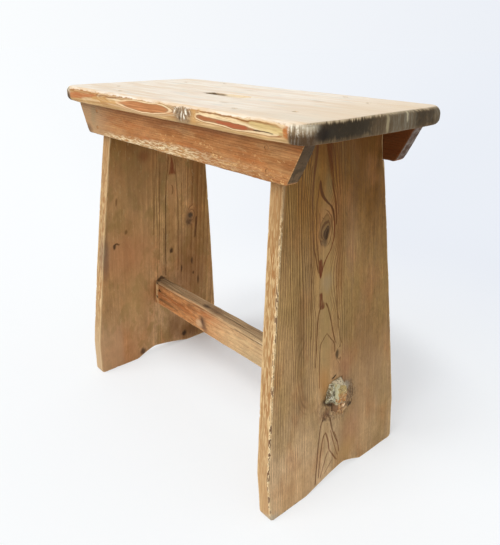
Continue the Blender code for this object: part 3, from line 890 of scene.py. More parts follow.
def left_leg_finish():
    """One long flame, a knot on the right, and small nicks and holes."""
    wood = leg_finish("brown_pine_left", -1, False, dict(
        centre=[(0, 18), (150, 22), (331, 22), (430, 20)],
        depth=[(0, 30), (150, 34), (300, 36), (331, 36.9), (430, 42)],
        spread=[(0, 0), (4, 10), (12, 30), (24, 44), (45, 52), (80, 62), (130, 78)], spacing=2.1, flat=36,
        knots=[((242, 58, 0), (20, 12, 30), 6)], uneven=0.8, steady=0.7),
        heart=[(0, 22), (430, 22)], heart_half=9,
        foot=(208, 166, 122), middle=(194, 152, 102), high=(144, 100, 52), olive=(146, 116, 62),
        warm=(186, 122, 72), late_wood=(112, 72, 36), strength=0.5, smooth=(-6, -24), dull_side=(30, 90),
        clear_side=(24, 36))
    smooth = wood.shown * wood.over.ease(-10, -24, 0, 0.5)
    wood.coat((178, 136, 90), smooth * wood.along.ease(400, 300))
    wood.tone(wood.cloud(26, 14, 4, 0.72, seed=24.2), 0.17)
    wood.mottles(
        ((150, 122, 72), 0.5, 27.1, 34, 20, 0.5, 0.64, 3, 0.6),
        ((200, 168, 118), 0.5, 37.1, 12, 5, 0.6, 0.7, 3, 0.7))
    red, brown = (124, 60, 26), (112, 74, 38)
    wood.stains(12,
        # Darker top of the leg: partly grime, partly painted shade under the seat.
        ((118, 84, 42), 0.55, 400, -30, 34, 90, 0.9),
        ((140, 112, 66), 0.45, 330, -30, 40, 30, 0.9),
        ((126, 80, 32), 0.55, 300, 74, 90, 14, 0.8),
        ((126, 78, 32), 0.6, 140, 60, 70, 30, 0.8),
        ((112, 68, 26), 0.5, 36, 66, 34, 40, 0.8),
        ((150, 96, 48), 0.35, 240, 22, 60, 8, 0.8),
        ((204, 168, 112), 0.4, 120, -50, 34, 20, 0.9),
        ((196, 128, 86), 0.4, 200, -60, 34, 40, 0.9),
        ((188, 116, 66), 0.45, 22, -84, 40, 34, 0.9, 0, 0, 24),
        ((120, 88, 62), 0.5, 235, -100, 44, 8, 0.8, 0, 0, 24),
        ((112, 74, 42), 0.6, 40, 26, 26, 12, 0.8),
        ((104, 66, 34), 0.55, 20, 60, 16, 20, 0.8))
    wood.strokes(wood.across, wood.shown,
        (red, 0.9, (344, 21.5, 0.6), (336, 22, 2.0), (326, 22.4, 3.8), (318, 22.4, 6.0), (316, 22.4, 6.4)),
        (brown, 0.7, (345, 16, 0.8), (325, 14, 0.9), (301, 11.3, 0.9), (250, 10, 0.8), (145, 10.5, 0.7)),
        ((72, 46, 26), 0.75, (285, 10.6, 0.5), (240, 9.9, 0.8), (209, 9.6, 0.8), (145, 10.4, 0.8)),
        (brown, 0.75, (340, 27, 0.8), (314, 29.8, 0.9), (290, 31.8, 1.0), (256, 33.9, 1.0), (148, 34.4, 0.9)),
        (brown, 0.6, (345, 0.8, 0.8), (279, -0.8, 0.9), (238, -2.3, 0.9), (177, -3.2, 0.7)),
        (brown, 0.5, (320, -8.3, 0.8), (281, -9.9, 0.9), (223, -12.5, 0.8)),
        (brown, 0.5, (230, 6, 0.8), (200, 7, 1.0), (150, 6.5, 0.8)),
        (brown, 0.5, (300, 40, 0.8), (200, 41, 0.9), (120, 40, 0.8)),
        ((180, 138, 88), 0.5, (318, 22, 5), (290, 22, 4.4), (262, 22, 4)),
        (brown, 0.7, (300, 20, 0.8), (292, 24, 1.2), (284, 22, 0.8)),
        ((86, 52, 26), 0.85, (238, 70.4, 0.8), (228, 70.4, 1.8), (214, 69.5, 1.8), (200, 68.5, 0.7)))
    wood.stains(10,
        ((50, 34, 26), 0.92, 242, 58, 5, 3.8, 0.4),
        ((104, 84, 60), 0.55, 236, 56, 12, 8, 0.7),
        ((84, 60, 40), 0.65, 231, 55, 3.5, 5, 0.5),
        ((62, 40, 22), 0.88, 189, 21.2, 4.4, 2.2, 0.5),
        ((62, 42, 26), 0.85, 219, -82, 5, 2.4, 0.5),
        ((62, 42, 26), 0.75, 222, -78, 2, 5, 0.5),
        ((76, 50, 28), 0.8, 157, 63.3, 5, 1.8, 0.5),
        ((76, 50, 28), 0.8, 150, 42, 7, 1.6, 0.5),
        ((76, 50, 28), 0.8, 133, 66, 3, 2.2, 0.5),
        ((66, 46, 28), 0.8, 118, 77, 10, 1.5, 0.5),
        ((96, 62, 34), 0.6, 290, -75, 6, 2, 0.5),
        ((96, 62, 34), 0.6, 239, -61, 4, 2, 0.5),
        ((118, 58, 28), 0.45, 352, -28, 8, 9, 0.7),
        ((70, 54, 42), 0.8, 13, -37, 6, 5, 0.5, 0, 0, 20),
        ((44, 30, 22), 0.85, 16, 48, 5, 5, 0.5, 0, 0, 20),
        ((54, 38, 26), 0.8, 142, 1, 3, 8, 0.5, 0, 0, 9),
        ((120, 74, 38), 0.6, 120, -13, 20, 2.4, 0.5, 0, 0, 9))
    leg_edges(wood, (168, 136, 96), 0.8)
    side = wood.over.ease(-70, -80)
    wood.coat((206, 180, 144), side * (wood.deep.ease(-3, 2, 0, 1) * wood.along.ease(120, 40, 0, 0.5)))
    wood.stains(10,
        ((104, 92, 84), 0.45, 205, -98, 26, 7, 0.8, 0, 2))
    return wood.done(0.68)


def apron_finish(name, side):
    """Orange pine of an apron."""
    wood = Finish(name, (1, 0, 0), (0, 0, 1), (0, -side, 0), (0, 388.4, -92.7))
    late = wood.growth_rings(
        centre=[(-220, -52), (-80, -58), (60, -54), (220, -60)],
        depth=[(-220, 30), (-60, 36), (80, 33), (220, 40)], spread=[(0, 0), (40, 34), (80, 76), (140, 134)],
        spacing=2.6, flat=34, uneven=1.2)
    wood.colour = wood.mix((180, 124, 74), (158, 102, 56), wood.patches(110, 14, 0.35, 0.65, seed=1.9))
    wood.mottles(((188, 142, 92), 0.6, 4.7, 50, 9, 0.5, 0.7), ((174, 100, 48), 0.5, 14.7, 80, 10, 0.52, 0.7))
    wood.coat((112, 64, 32), late * wood.over.ease(0, 40, 0.12, 0.5))
    wood.dent(late, 0.18)
    wood.fibres(0.16, 60, 1.0)
    wood.coat((178, 148, 110), wood.along.ease(-110, -180, 0, 0.65))
    # Darker band along the top of the apron: painted shade under the seat.
    wood.coat((132, 88, 50), wood.over.ease(32, 42, 0, 0.5))
    return wood


def front_apron_finish():
    """Scuffed along its low half, greyed and dark where it is sawn off."""
    wood = apron_finish("orange_pine_front", -1)
    reach = wood.along.profile([(-217, 0), (-165, 0.1), (-140, 0.75), (-90, 1), (-20, 1), (40, 0.8), (90, 0.3),
        (150, 0.15), (217, 0)])
    low = wood.along.profile([(-217, 6), (-130, 5), (-60, 7), (0, 10), (60, 11), (217, 8)])
    band = (wood.over - low).ease(5, -2)
    scuffs = band * reach * wood.patches(11, 1.6, 0.46, 0.56, 4, 0.75, seed=2.7)
    wood.coat((196, 156, 102), band * reach * 0.35)
    wood.coat((236, 214, 172), scuffs * 0.9)
    flecks = wood.patches(6, 2.8, 0.555, 0.65, 3, 0.75, seed=7.1) * wood.over.ease(32, 14)
    flecks = flecks * wood.patches(34, 12, 0.36, 0.56, 2, seed=21.3)
    flecks = flecks * wood.along.profile([(-217, 0), (-60, 0.1), (0, 1), (150, 1), (217, 0.3)])
    wood.coat((222, 180, 120), flecks * 0.75)
    wood.dent(scuffs, -0.2)
    rubbed_arris(wood, (206, 164, 112), 0.5, 1.35, 1.65)
    wood.stains(8,
        ((150, 128, 94), 0.6, -178, 26, 6, 16, 0.8),
        ((92, 68, 48), 0.7, -196, 4, 9, 7, 0.7))
    by_cut = wood.stroke([(194, -3, 2.6), (217, 42, 2.6)], wood.over) * wood.patches(60, 1.6, 0.44, 0.54, 2, 0.6,
        seed=35.2)
    wood.coat((206, 160, 108), by_cut * 0.6 * wood.along.ease(160, 180))
    cut = end_grain(wood, 0)
    wood.coat(wood.mix((84, 66, 46), (112, 88, 62), wood.over.ease(34, 6)), cut)
    wood.coat((64, 52, 36), cut * wood.patches(14, 7, 0.42, 0.6, seed=3.3, stop=0.6))
    return wood.done(0.66)


def rear_apron_finish():
    """Darker on its inner face, with painted shade under the seat; greyed where it is sawn off."""
    wood = apron_finish("orange_pine_rear", 1)
    rubbed_arris(wood, (200, 158, 108), 0.5)
    # Dark inner face: painted shade under the seat.
    wood.coat((92, 46, 16), wood.facing[1].ease(0.2, -0.6, 0, 0.85))
    wood.coat((86, 62, 46), end_grain(wood, 0))
    wood.coat((126, 112, 100), end_grain(wood, 0) * wood.patches(9, 5, 0.4, 0.64, 3, 0.65, seed=5.5))
    return wood.done(0.62)


def stretcher_finish():
    """Orange rail, greyed and cracked on top, with rough ends that stick out through the legs."""
    wood = Finish("aged_pine_rail", (1, 0, 0), (0, 0, 1), (0, 1, 0), (0, 99.7, -9.5))
    late = wood.growth_rings(
        centre=[(-210, 16), (-60, 14), (60, 19), (210, 15)],
        depth=[(-210, 22), (-60, 26), (60, 24), (210, 30)], spread=[(0, 0), (8, 12), (20, 26), (60, 60)], spacing=3.0,
        flat=25, knots=[((-52, 14, 6), (26, 12, 20), 8)], uneven=1.5)
    wood.colour = wood.mix((198, 138, 86), (202, 172, 128), wood.along.ease(-110, 70))
    left_part = wood.along.ease(-30, -70)
    wood.coat((170, 98, 52), wood.patches(60, 7, 0.42, 0.62, seed=3.3) * wood.along.ease(0, -60, 0.15, 0.75)
        * wood.over.ease(8, 22, 0.35, 1))
    wood.mottles(
        ((146, 108, 74), 0.6, 51.2, 20, 4.5, 0.46, 0.62, 3, 0.65),
        ((206, 158, 108), 0.5, 53.7, 14, 2.6, 0.52, 0.64, 3, 0.65),
        ((118, 74, 44), 0.6, 57.3, 30, 1.3, 0.54, 0.62, 2, 0.6), where=left_part)
    wood.wash(0.93, 0.9, 0.86, left_part)
    wood.coat((140, 92, 54), late * 0.35)
    wood.dent(late, 0.2)
    wood.fibres(0.14, 60, 0.9)
    wood.tone(wood.cloud(16, 4, 3, 0.7, seed=33.1), 0.14)
    top = wood.facing[2].ease(0.35, 0.8)
    wood.coat((160, 132, 98), top * wood.along.ease(-60, 100, 0.9, 0.75))
    wood.coat((112, 88, 62), top * wood.patches(60, 3, 0.47, 0.6, seed=2.9, stop=0.6))
    wood.coat((196, 172, 134), wood.over.ease(33, 38) * wood.patches(70, 1.2, 0.52, 0.62, 3, seed=4.6, stop=0.7))
    cracks = wood.patches(70, 0.8, 0.58, 0.62, 2, 0.5, seed=8.3)
    cracks = cracks * wood.over.ease(31, 37)
    wood.coat((66, 48, 34), cracks * 0.7)
    wood.dent(cracks, -0.5)
    front = wood.deep.ease(6, 4)
    wood.strokes(wood.across, front,
        ((84, 62, 42), 0.6, (20, 35.5, 0.5), (60, 35, 0.9), (120, 34, 0.9), (180, 33.5, 0.7)),
        ((232, 210, 172), 0.5, (60, 36.6, 0.5), (120, 35.6, 0.8), (180, 35, 0.8)),
        ((110, 82, 54), 0.5, (90, 30.5, 0.4), (140, 30, 0.8), (180, 29.6, 0.6)),
        ((120, 70, 38), 0.6, (-175, 26, 0.8), (-140, 24, 1.2), (-100, 22, 0.8)),
        ((110, 78, 52), 0.7, (-175, 10, 1.2), (-158, 11, 2.8), (-138, 10, 2.4), (-120, 9, 0.8)))
    wood.stains(6,
        ((90, 66, 52), 0.8, -53, 13, 6.5, 11, 0.8, 14, 0, 14),
        ((66, 48, 36), 0.5, -54, 18, 2, 5, 0.6, 14, 0, 14),
        ((204, 172, 134), 0.6, -64, 10, 7, 6, 0.6, 0, 0, 8),
        ((66, 50, 40), 0.8, -52, 40, 8, 2, 0.6, 0, 8, 5),
        ((110, 82, 60), 0.6, -30, 40, 12, 4, 0.7, 0, 6, 9),
        ((228, 192, 140), 0.7, -181, 22, 4.5, 24, 0.5, 0, 0, 20),
        ((40, 28, 20), 0.9, -179, 38, 4, 3, 0.4, 0, 4),
        ((44, 30, 22), 0.9, -172, 27, 3, 2.5, 0.4),
        ((44, 30, 22), 0.8, -179, 12, 3, 2.5, 0.4))
    rubbed_arris(wood, (206, 172, 128), 0.3)
    outside = abs(wood.along).ease(198, 201)
    cut_face = outside * abs(wood.facing[0]).ease(0.45, 0.75)
    wood.coat((202, 162, 112), cut_face * 0.95)
    wood.mottles(
        ((190, 122, 62), 0.7, 12.1, 30, 5, 0.46, 0.6),
        ((128, 92, 60), 0.7, 14.1, 20, 1.2, 0.54, 0.62, 2), where=cut_face)
    wood.coat((190, 168, 112), cut_face * wood.over.ease(20, 28, 0, 0.85))
    wood.mottles(
        ((84, 56, 34), 0.8, 2.1, 4, 2.2, 0.55, 0.64, 3, 0.7),
        ((240, 226, 190), 0.8, 8.1, 4, 2.2, 0.6, 0.68, 3, 0.7), where=outside)
    # Cream on the faces of the tenon end turned up: painted highlight.
    wood.coat((236, 224, 190), outside * (wood.facing[2].ease(0.35, 0.6) * 0.85))
    wood.coat((150, 138, 112), outside * (wood.facing[2].ease(0.35, 0.6)
        * wood.patches(5, 3, 0.48, 0.6, 3, 0.7, seed=15.1, stop=0.8)))
    wood.coat((206, 200, 164), outside * wood.facing[1].ease(-0.35, -0.7, 0, 0.9))
    wood.coat((122, 78, 46), outside * (wood.over.ease(13, 10.5) * wood.facing[1].ease(0.1, -0.3, 0, 0.85)))
    # Grey on the faces of the tenon end turned back: painted shade.
    wood.coat((140, 126, 110), outside * wood.facing[1].ease(0.3, 0.6, 0, 0.8))
    wood.coat((250, 214, 170), outside * wood.spot((208, 6, 16), (8, 3, 6)))
    return wood.done(0.7)


def wedge_finish():
    """Crushed, greyed ends of the wedges."""
    wood = Finish("bruised_pine", (1, 0, 0), (0, 0, 1), (0, 1, 0), (0, 114, -9.8))
    wood.colour = wood.mix((170, 162, 130), (132, 122, 96), wood.patches(40, 5, seed=1.1))
    wood.mottles(
        ((226, 222, 196), 0.85, 6.1, 5, 2.6, 0.5, 0.6, 3, 0.7),
        ((86, 66, 48), 0.85, 9.9, 5, 2.0, 0.54, 0.62, 3, 0.7))
    wood.fibres(0.15, 30, 0.7)
    # Darker along the wedge's foot: painted shade under its head.
    wood.coat((78, 58, 44), wood.over.ease(4, 0, 0, 0.8))
    return wood.done(0.85, 0.08, 0.2)


def seat_edge_marks(wood, front):
    """What shows on the front edge, where the board's layers have worn through beside two knots."""
    orange, brown, pale, gold = (182, 108, 62), (128, 80, 42), (234, 208, 164), (196, 150, 92)
    wood.strokes(wood.deep + wood.cloud(22, 6, 2, 0.6, seed=3.6).line(0.3, 0.7, -0.8, 0.8), front,
        (orange, 0.8, (-226, 10, 2.2), (-207, 10.5, 3.4), (-183, 10, 3.4), (-160, 8.4, 2.0), (-134, 7, 1.0)),
        (gold, 0.8, (-146, 11, 1.5), (-125, 10.5, 3.6), (-100, 10.2, 3.4), (-84, 12, 1.0)),
        (pale, 0.5, (-176, 13, 0.8), (-150, 12.6, 1.4), (-124, 13.6, 0.8)),
        (brown, 0.6, (-134, 5.4, 0.6), (-102, 5.6, 0.8), (-73, 4.0, 0.6), (-30, 2.6, 0.5)),
        (gold, 0.8, (69, 9, 8), (74, 9, 8), (79, 9, 7)),
        (pale, 0.95, (84, 5.6, 0.8), (98, 6.2, 1.6), (111, 6.2, 1.7), (141, 7.2, 1.6), (158, 8.9, 1.6),
            (176, 11, 0.8)),
        (brown, 0.7, (86, 3.9, 0.5), (118, 4.4, 0.7), (148, 4.8, 0.7), (175, 4.7, 0.7), (194, 6.0, 0.8),
            (204, 9, 0.8)),
        ((208, 182, 124), 0.85, (160, 6.6, 1.2), (172, 8, 3.0), (188, 8.6, 3.6), (200, 9.4, 3.4), (205, 10, 2.0)),
        (pale, 0.7, (84, 2.4, 0.7), (118, 2.9, 0.8), (155, 3.2, 0.8), (182, 3.0, 0.8), (201, 4.6, 0.9),
            (214, 7, 0.9)),
        ((170, 84, 56), 0.7, (112, 11.2, 0.8), (126, 11.4, 1.6), (150, 12, 1.8), (158, 12, 0.8)),
        ((62, 44, 30), 0.8, (166, 12.0, 0.4), (178, 12.3, 0.7), (192, 12.8, 0.5)),
        ((178, 110, 58), 0.95, (204, 9, 2.5), (207, 9, 5.0), (210, 9.4, 5.4), (212, 9.6, 3.5)),
        (pale, 1.0, (212.5, 8.8, 4.6), (214.5, 8.8, 5.2), (216.5, 8.6, 3.6)),
        (brown, 0.8, (217, 8.4, 5.0), (218.4, 8.4, 5.4), (219.4, 8.4, 4.4)))
    wood.stains(10,
        ((128, 108, 86), 0.8, 55, -108, 15, 12, 0.6, 0, 9),
        ((110, 86, 62), 0.5, 226, -106, 10, 12, 0.6, 0, 14, 7))
    fan = (wood.along - 55) / (wood.deep + 12)
    fanned = wood.triple(fan, wood.deep * 0.1, 0)
    rays = wood.cloud(0.15, 1, 2, 0.6, seed=6.9, source=fanned)
    broken = wood.patches(4, 3, 0.36, 0.54, 2, 0.6, seed=43.3)
    wood.coat((88, 72, 56), broken * rays.ease(0.47, 0.4) * wood.spot((57, -108, 9), (12, 12, 9), 0, 0.4, 0.9))
    wood.coat((248, 238, 218), broken * rays.ease(0.53, 0.6) * wood.spot((54, -108, 6), (15, 12, 9), 0, 0.4, 0.9))
    wood.tone(wood.cloud(24, 1.6, 3, 0.65, seed=31.7), 0.13)


def seat_finish():
    """Scrubbed seat: bleached on top, worn through layer by layer on its edges, grey at its ends."""
    wood = Finish("scrubbed_pine", (1, 0, 0), (0, 1, 0), (0, 0, -1), (0, 0, -450))
    late = wood.growth_rings(
        centre=[(-230, 20), (-120, 6), (0, -6), (120, 2), (230, -14)],
        depth=[(-230, 44), (-120, 34), (-20, 30), (60, 37), (150, 31), (230, 40)],
        spread=[(0, 0), (6, 14), (16, 30), (40, 52), (80, 78), (130, 118)], spacing=4.4, flat=36,
        knots=[((-18, 50, 0), (20, 12, 30), 7), ((118, 30, 0), (22, 12, 30), 8)])
    wood.colour = wood.mix((184, 132, 86), (156, 104, 62), wood.patches(120, 20, seed=1.6))
    wood.coat((112, 68, 38), late * 0.6)
    wood.dent(late, 0.2)
    wood.fibres(0.12, 90, 1.0)
    ragged = wood.cloud(9, 4, 3, 0.6, seed=3.4).line(0.3, 0.7, -0.2, 0.2)
    top = (wood.facing[2] + ragged).ease(0.3, 0.62)
    layers_below = wood.colour
    wood.colour = wood.mix((242, 231, 215), (235, 217, 194), wood.patches(150, 26, 0.4, 0.65, seed=5.8))
    wood.coat((249, 243, 231), wood.patches(80, 7, 0.5, 0.66, 3, seed=9.3, stop=0.75))
    wood.coat((224, 202, 176), late * 0.15)
    wood.mottles(
        ((228, 206, 178), 0.35, 2.6, 46, 3, 0.54, 0.7, 3),
        ((233, 213, 196), 0.4, 22.6, 30, 14, 0.5, 0.7, 3),
        ((214, 214, 206), 0.4, 12.6, 40, 12, 0.55, 0.7, 2))
    wood.coat((226, 204, 174), wood.along.ease(60, 230, 0, 0.62))
    wood.coat((222, 190, 150), wood.facing[1].ease(-0.04, -0.4)
        * wood.patches(40, 6, 0.35, 0.6, 3, seed=14.4, stop=0.75))
    wood.stains(6,
        ((196, 176, 150), 0.7, 64, -60, 5, 2.2, 0.6),
        ((206, 186, 160), 0.6, 118, 30, 9, 3, 0.6),
        ((206, 184, 156), 0.6, -18, 50, 9, 3, 0.6),
        # Pale strip on the slot's far rim: pale wood, partly painted light.
        ((240, 214, 166), 0.45, 26, 4, 40, 2.4, 0.6),
        ((230, 226, 212), 0.4, 200, -86, 30, 16, 0.6),
        # Darker at the slot's left end: painted shade.
        ((150, 128, 106), 0.7, -28, -8, 9, 4, 0.6))
    wood.tone(wood.cloud(60, 1.0, 3, 0.65, seed=16.3), 0.045)
    scrubbed = wood.colour
    front = wood.facing[1].ease(-0.18, -0.45) * wood.over.ease(-85, -95)
    rear = wood.facing[1].ease(0.18, 0.45)
    wood.colour = wood.mix((196, 154, 102), (172, 122, 74), wood.patches(70, 3.0, 0.4, 0.6, seed=7.4))
    wood.coat((184, 152, 104), wood.deep.ease(13, 17, 0, 0.7))
    wood.mottles(
        ((226, 192, 144), 0.7, 3.7, 40, 1.6, 0.52, 0.64, 3),
        ((150, 100, 56), 0.6, 13.9, 50, 1.4, 0.56, 0.64, 3))
    edge, wood.colour = wood.colour, layers_below
    wood.coat(edge, wood.maths("MAXIMUM", front, rear))
    pale, brown = (236, 210, 166), (142, 90, 50)
    edge_depth = wood.deep + wood.cloud(30, 8, 2, 0.6, seed=3.6).line(0.3, 0.7, -0.7, 0.7)
    ringed = ((1.62, 0.4, (206, 164, 112)), (1.52, 0.5, brown), (1.44, 0.6, pale), (1.36, 0.6, brown),
        (1.28, 0.7, (222, 188, 138)), (1.2, 0.75, brown), (1.11, 0.9, pale), (0.95, 0.85, brown),
        (0.86, 0.95, (176, 116, 70)))
    wood.lens([(-130, 7), (-86, 9.0), (-60, 10.2), (-30, 10.3), (0, 9.6), (20, 8.8), (62, 8.4)],
        [(-140, -1.6), (-112, -1.15), (-92, -1.0), (-80, -0.97), (-70, -0.9), (-60, -0.78), (-50, -0.6), (-38, -0.3),
        (-20, 0), (10, 0.5), (32, 1.0), (62, 1.7)], 5.6, edge_depth, ringed, front)
    wood.lens([(64, 9), (80, 9.6), (102, 10.6), (126, 11.2), (152, 12), (176, 12.2), (214, 12)],
        [(60, -3), (74, -1.6), (79, -1.0), (84, -0.7), (92, -0.1), (102, 0.6), (126, 0.5), (140, 0.2), (152, 0.5),
        (162, 0.82), (176, 0.96), (194, 1.1), (214, 3)], 2.9, edge_depth,
        ((1.9, 0.35, (222, 188, 138)), (1.55, 0.55, brown), (1.32, 0.85, pale), (0.98, 0.9, (146, 92, 54)),
        (0.7, 0.8, (164, 100, 60))), front)
    wood.lens([(-150, 9), (60, 9)], [(-160, -2), (-120, -1), (-50, 0), (20, 1), (60, 2)], 5.0, edge_depth, ringed,
        rear)
    wood.coat((206, 142, 94), front * wood.patches(60, 1.6, 0.46, 0.6, 3, seed=19.7)
        * wood.spot((-27, -108, 10), (60, 30, 5), 0, 0.3, 0.7))
    seat_edge_marks(wood, front)
    wood.coat(scrubbed, top)
    # Inside the hand slot: painted shade at its left end, pale wood with painted light along its far wall.
    inside = wood.facing[2].ease(0.75, 0.45) * abs(wood.over).ease(60, 40)
    inside = inside * wood.facing[2].ease(-0.7, -0.4)
    wood.coat(wood.mix((158, 138, 112), (236, 218, 186), wood.along.ease(-16, -4)), inside)
    ends = abs(wood.facing[0]).ease(0.3, 0.6)
    girth = wood.over - wood.maths("SIGN", wood.over) * abs(wood.along)
    across = wood.triple(0, girth, wood.deep * 0.14)
    upright = wood.cloud(400, 2.6, 3, 0.65, seed=4.2, source=across)
    grime = wood.cloud(400, 15, 3, 0.6, seed=7.2, source=wood.ragged)
    wood.coat((112, 90, 62), ends)
    wood.coat((150, 126, 92), ends * upright.ease(0.5, 0.68, 0, 0.55))
    teeth = (upright - 0.5) * grime.line(0.35, 0.65, 2, 12)
    below = wood.deep + teeth
    shadow = below.ease(-0.2, 4.4) * (below + grime.line(0.3, 0.7, -3, 3)).ease(19.0, 14.0, 0.4, 1)
    reach = wood.over.profile([(-108, 0.1), (-97, 0.35), (-90, 1), (-24, 0.95), (-10, 0.6), (25, 0.35), (48, 0.35),
        (56, 0.85), (84, 0.8), (94, 0.45), (108, 0.5)])
    wood.coat((56, 47, 34), ends * shadow * (reach * grime.ease(0.3, 0.52, 0.6, 1)))
    fringe = abs(wood.facing[0]).ease(0.3, 0.6) * below.ease(3.0, 0.0)
    wood.coat((206, 186, 152), fringe * 0.9)
    corner = wood.over.ease(-84, -98) * abs(wood.along).ease(208, 214)
    corner = corner * wood.facing[2].ease(0.86, 0.55)
    ray = upright.ease(0.5, 0.56)
    wood.coat(wood.mix((206, 196, 172), (146, 124, 94), wood.deep.ease(2, 9)), corner * 0.9)
    wood.coat((86, 66, 46), corner * wood.deep.ease(6.5, 12.5, 0.05, 1))
    by_edge = abs(wood.along).ease(218, 225, 0.95, 0.3)
    wood.coat((96, 76, 56), corner * (upright.ease(0.46, 0.4, 0, 0.7) * by_edge))
    ray = ray * by_edge * wood.patches(4, 3, 0.36, 0.52, 2, 0.6, seed=41.3)
    wood.coat((246, 238, 220), corner * ray * wood.deep.ease(13, 7, 0.1, 1))
    greyed = wood.over.profile([(-108, 0), (0, 0.1), (20, 0.7), (48, 0.7), (57, 0.1), (84, 0.1), (94, 0.7),
        (108, 0.5)])
    wood.coat((130, 122, 104), ends * (greyed * upright.ease(0.42, 0.6, 0.25, 1)))
    wood.stains(9,
        ((176, 160, 124), 0.7, 230, 6, 30, 2.2, 0.5, 0, 9),
        ((196, 184, 152), 0.8, 230, 38, 30, 1.5, 0.5, 0, 5, 5),
        ((38, 30, 24), 0.8, 230, -86, 30, 9, 0.5, 0, 10, 5.5), where=ends)
    wood.coat((72, 64, 50), wood.over.ease(98, 106) * (ends * 0.7))
    return wood.done(0.76, 0.1, 0.12)


def nail_finish(name, colour, rust):
    """Old iron under dirt and filling."""
    wood = Finish(name, (0, 0, 1), (1, 0, 0), (0, 1, 0), (0, 0, 0))
    wood.colour = wood.mix(colour, rust, wood.patches(1.2, 1.2, 0.4, 0.6, seed=2.2))
    wood.dent(wood.cloud(0.8, 0.8, 3, seed=4.1), 0.12)
    wood.shader.inputs["Metallic"].default_value = 0.25
    return wood.done(0.75, 0.1, 0.3)


# ---- assembly ----
def dress(piece, finish, slot, *nodes):
    piece.data.materials.clear()
    piece.data.materials.append(finish)
    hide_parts(*nodes)
    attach(piece, "root")


nails = sorted(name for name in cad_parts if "nail" in name)
seat = make_seat()
sink_heads(seat, [name for name in nails if name.startswith("seat")])
dress(seat, seat_finish(), "seat_pine", "seat_board")
for word, side, finish in (("front", -1, front_apron_finish()), ("rear", 1, rear_apron_finish())):
    apron = make_apron(f"{word}_apron_board", side)
    sink_heads(apron, [name for name in nails if name.startswith(f"apron_nail_{word}")])
    dress(apron, finish, "apron_pine", f"{word}_apron")
for word, end, finish in (("right", 1, right_leg_finish()), ("left", -1, left_leg_finish())):
    dress(make_leg(f"{word}_leg_board", end), finish, "leg_pine", f"{word}_leg")
rail = make_stretcher()
for tenon in (make_tenon_end("right_tenon", 1), make_tenon_end("left_tenon", -1)):
    combine(rail, "UNION", tenon)
dress(rail, stretcher_finish(), "stretcher_pine", "stretcher")
bruised = wedge_finish()
for word, end in (("right", 1), ("left", -1)):
    dress(make_wedge(f"{word}_wedge_head", end), bruised, "wedge_pine", f"{word}_wedge")
limed_iron = nail_finish("limed_nail", (236, 222, 200), (204, 182, 152))
filled_iron = nail_finish("stopped_nail", (190, 138, 86), (172, 120, 72))
for name in nails:
    dress(make_nail(f"turned_{name}", name), limed_iron if name.startswith("seat") else filled_iron,
          "nail_iron", name)


# ---- floor, light and camera ----
to_right, to_back = (0.66, 0.75, 0), (-0.75, 0.66, 0)
studio_white, studio_pale = (252, 254, 255), (235, 239, 246)
sky_strength = 0.66
window_strength, window_spread, towards_window = 1.75, 46, (-0.10, -0.72, 0.69)
camera_lens, camera_place = 36.68, (0.54752, -0.44918, 0.51853)
camera_turn = (0.6616, -0.30229, 0.68622), (0.74981, 0.25701, -0.60969), (0.00794, 0.91792, 0.3967)


def dimmed(paint, towards):
    """How much paler than white the camera sees the studio: painted shade on the floor and sky, more towards the back
    on the right, away from the window.
    """
    across, back = [paint.vector_maths("DOT_PRODUCT", "Value", towards, way) for way in (to_right, to_back)]
    turn = paint.maths("ARCTAN2", across, back)
    return turn.line(-0.46, 0.46, 0, 1) * turn.ease(2.6, 1.1)


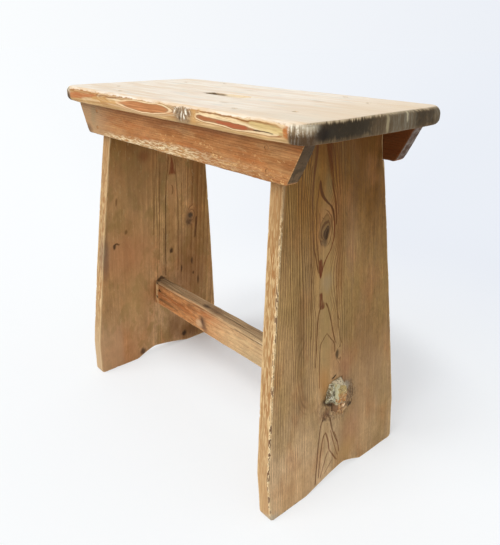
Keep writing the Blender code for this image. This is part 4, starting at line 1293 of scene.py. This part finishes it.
def make_floor():
    bm = bmesh.new()
    bmesh.ops.create_circle(bm, cap_ends=True, segments=96, radius=20)
    floor = finish_piece("studio_floor", bm)
    paint = Finish("floor_paint", (1, 0, 0), (0, 1, 0), (0, 0, 1), (0, 0, 0))
    dim = dimmed(paint, paint.place)
    distance = paint.vector_maths("LENGTH", "Value", paint.place)
    # Floor colour greyed towards the back on the right: painted shade.
    paint.colour = seen_as = paint.mix(studio_white, studio_pale, dim * distance.ease(150, 900))
    paint.wash(0.950, 0.957, 0.972, 1.0)
    for name, value in (("Base Color", paint.colour), ("Roughness", 0.9), ("Specular IOR Level", 0.1)):
        paint.feed(paint.shader.inputs[name], value)
    glow = paint.put("ShaderNodeEmission", {"Color": seen_as, "Strength": 1.0})
    seen = paint.put("ShaderNodeLightPath", give="Is Camera Ray")
    # For the camera the floor partly glows: painted light, strongest in the open and weakest near and behind the
    # stool, where its shadow shows.
    painted_floor_light = paint.away((-60, 200, 0), (330, 215, 900), source=paint.place).ease(0.6, 1.15, 0.04, 0.62)
    both = paint.put("ShaderNodeMixShader", {0: seen * painted_floor_light, 1: Amount(paint, paint.shader.outputs[0]), 2: glow})
    paint.feed(paint.tree.nodes["Material Output"].inputs["Surface"], both)
    floor.data.materials.append(paint.material)


def make_sky():
    world = bpy.data.worlds.new("studio_air")
    bpy.context.scene.world = world
    world.use_nodes = True
    air = Mixing(world.node_tree)
    dim = dimmed(air, air.put("ShaderNodeTexCoord", give="Generated"))
    # The sky seen by the camera carries the same painted shade towards the back on the right.
    seen = air.put("ShaderNodeBackground", {"Color": air.mix(studio_white, studio_pale, dim), "Strength": 1.0})
    light = air.tree.nodes["Background"]
    air.feed(light.inputs["Color"], (1, 1, 1, 1))
    air.feed(light.inputs["Strength"], sky_strength)
    rays = air.put("ShaderNodeLightPath", give="Is Camera Ray")
    mirrored = air.maths("MAXIMUM", rays.other("Is Glossy Ray"), rays.other("Is Transmission Ray"))
    either = air.put("ShaderNodeMixShader", {0: air.maths("MAXIMUM", rays, mirrored),
                                             1: Amount(air, light.outputs[0]), 2: seen})
    air.feed(air.tree.nodes["World Output"].inputs["Surface"], either)


def stand(name, data):
    """Put a lamp or the camera into the scene."""
    thing = bpy.data.objects.new(name, data)
    bpy.context.scene.collection.objects.link(thing)
    return thing


make_floor()
make_sky()
window = bpy.data.lights.new("window_light", "SUN")
window.energy, window.angle = window_strength, math.radians(window_spread)
stand("window_light", window).rotation_euler = Vector(towards_window).to_track_quat("Z", "Y").to_euler()
bpy.context.scene.view_settings.view_transform = "Standard"

view = bpy.data.cameras.new("camera")
view.sensor_width, view.lens, view.clip_start = 36, camera_lens, 0.01
camera = stand("camera", view)
camera.matrix_world = Matrix.Translation(camera_place) @ Matrix(camera_turn).to_4x4()
bpy.context.scene.camera = camera
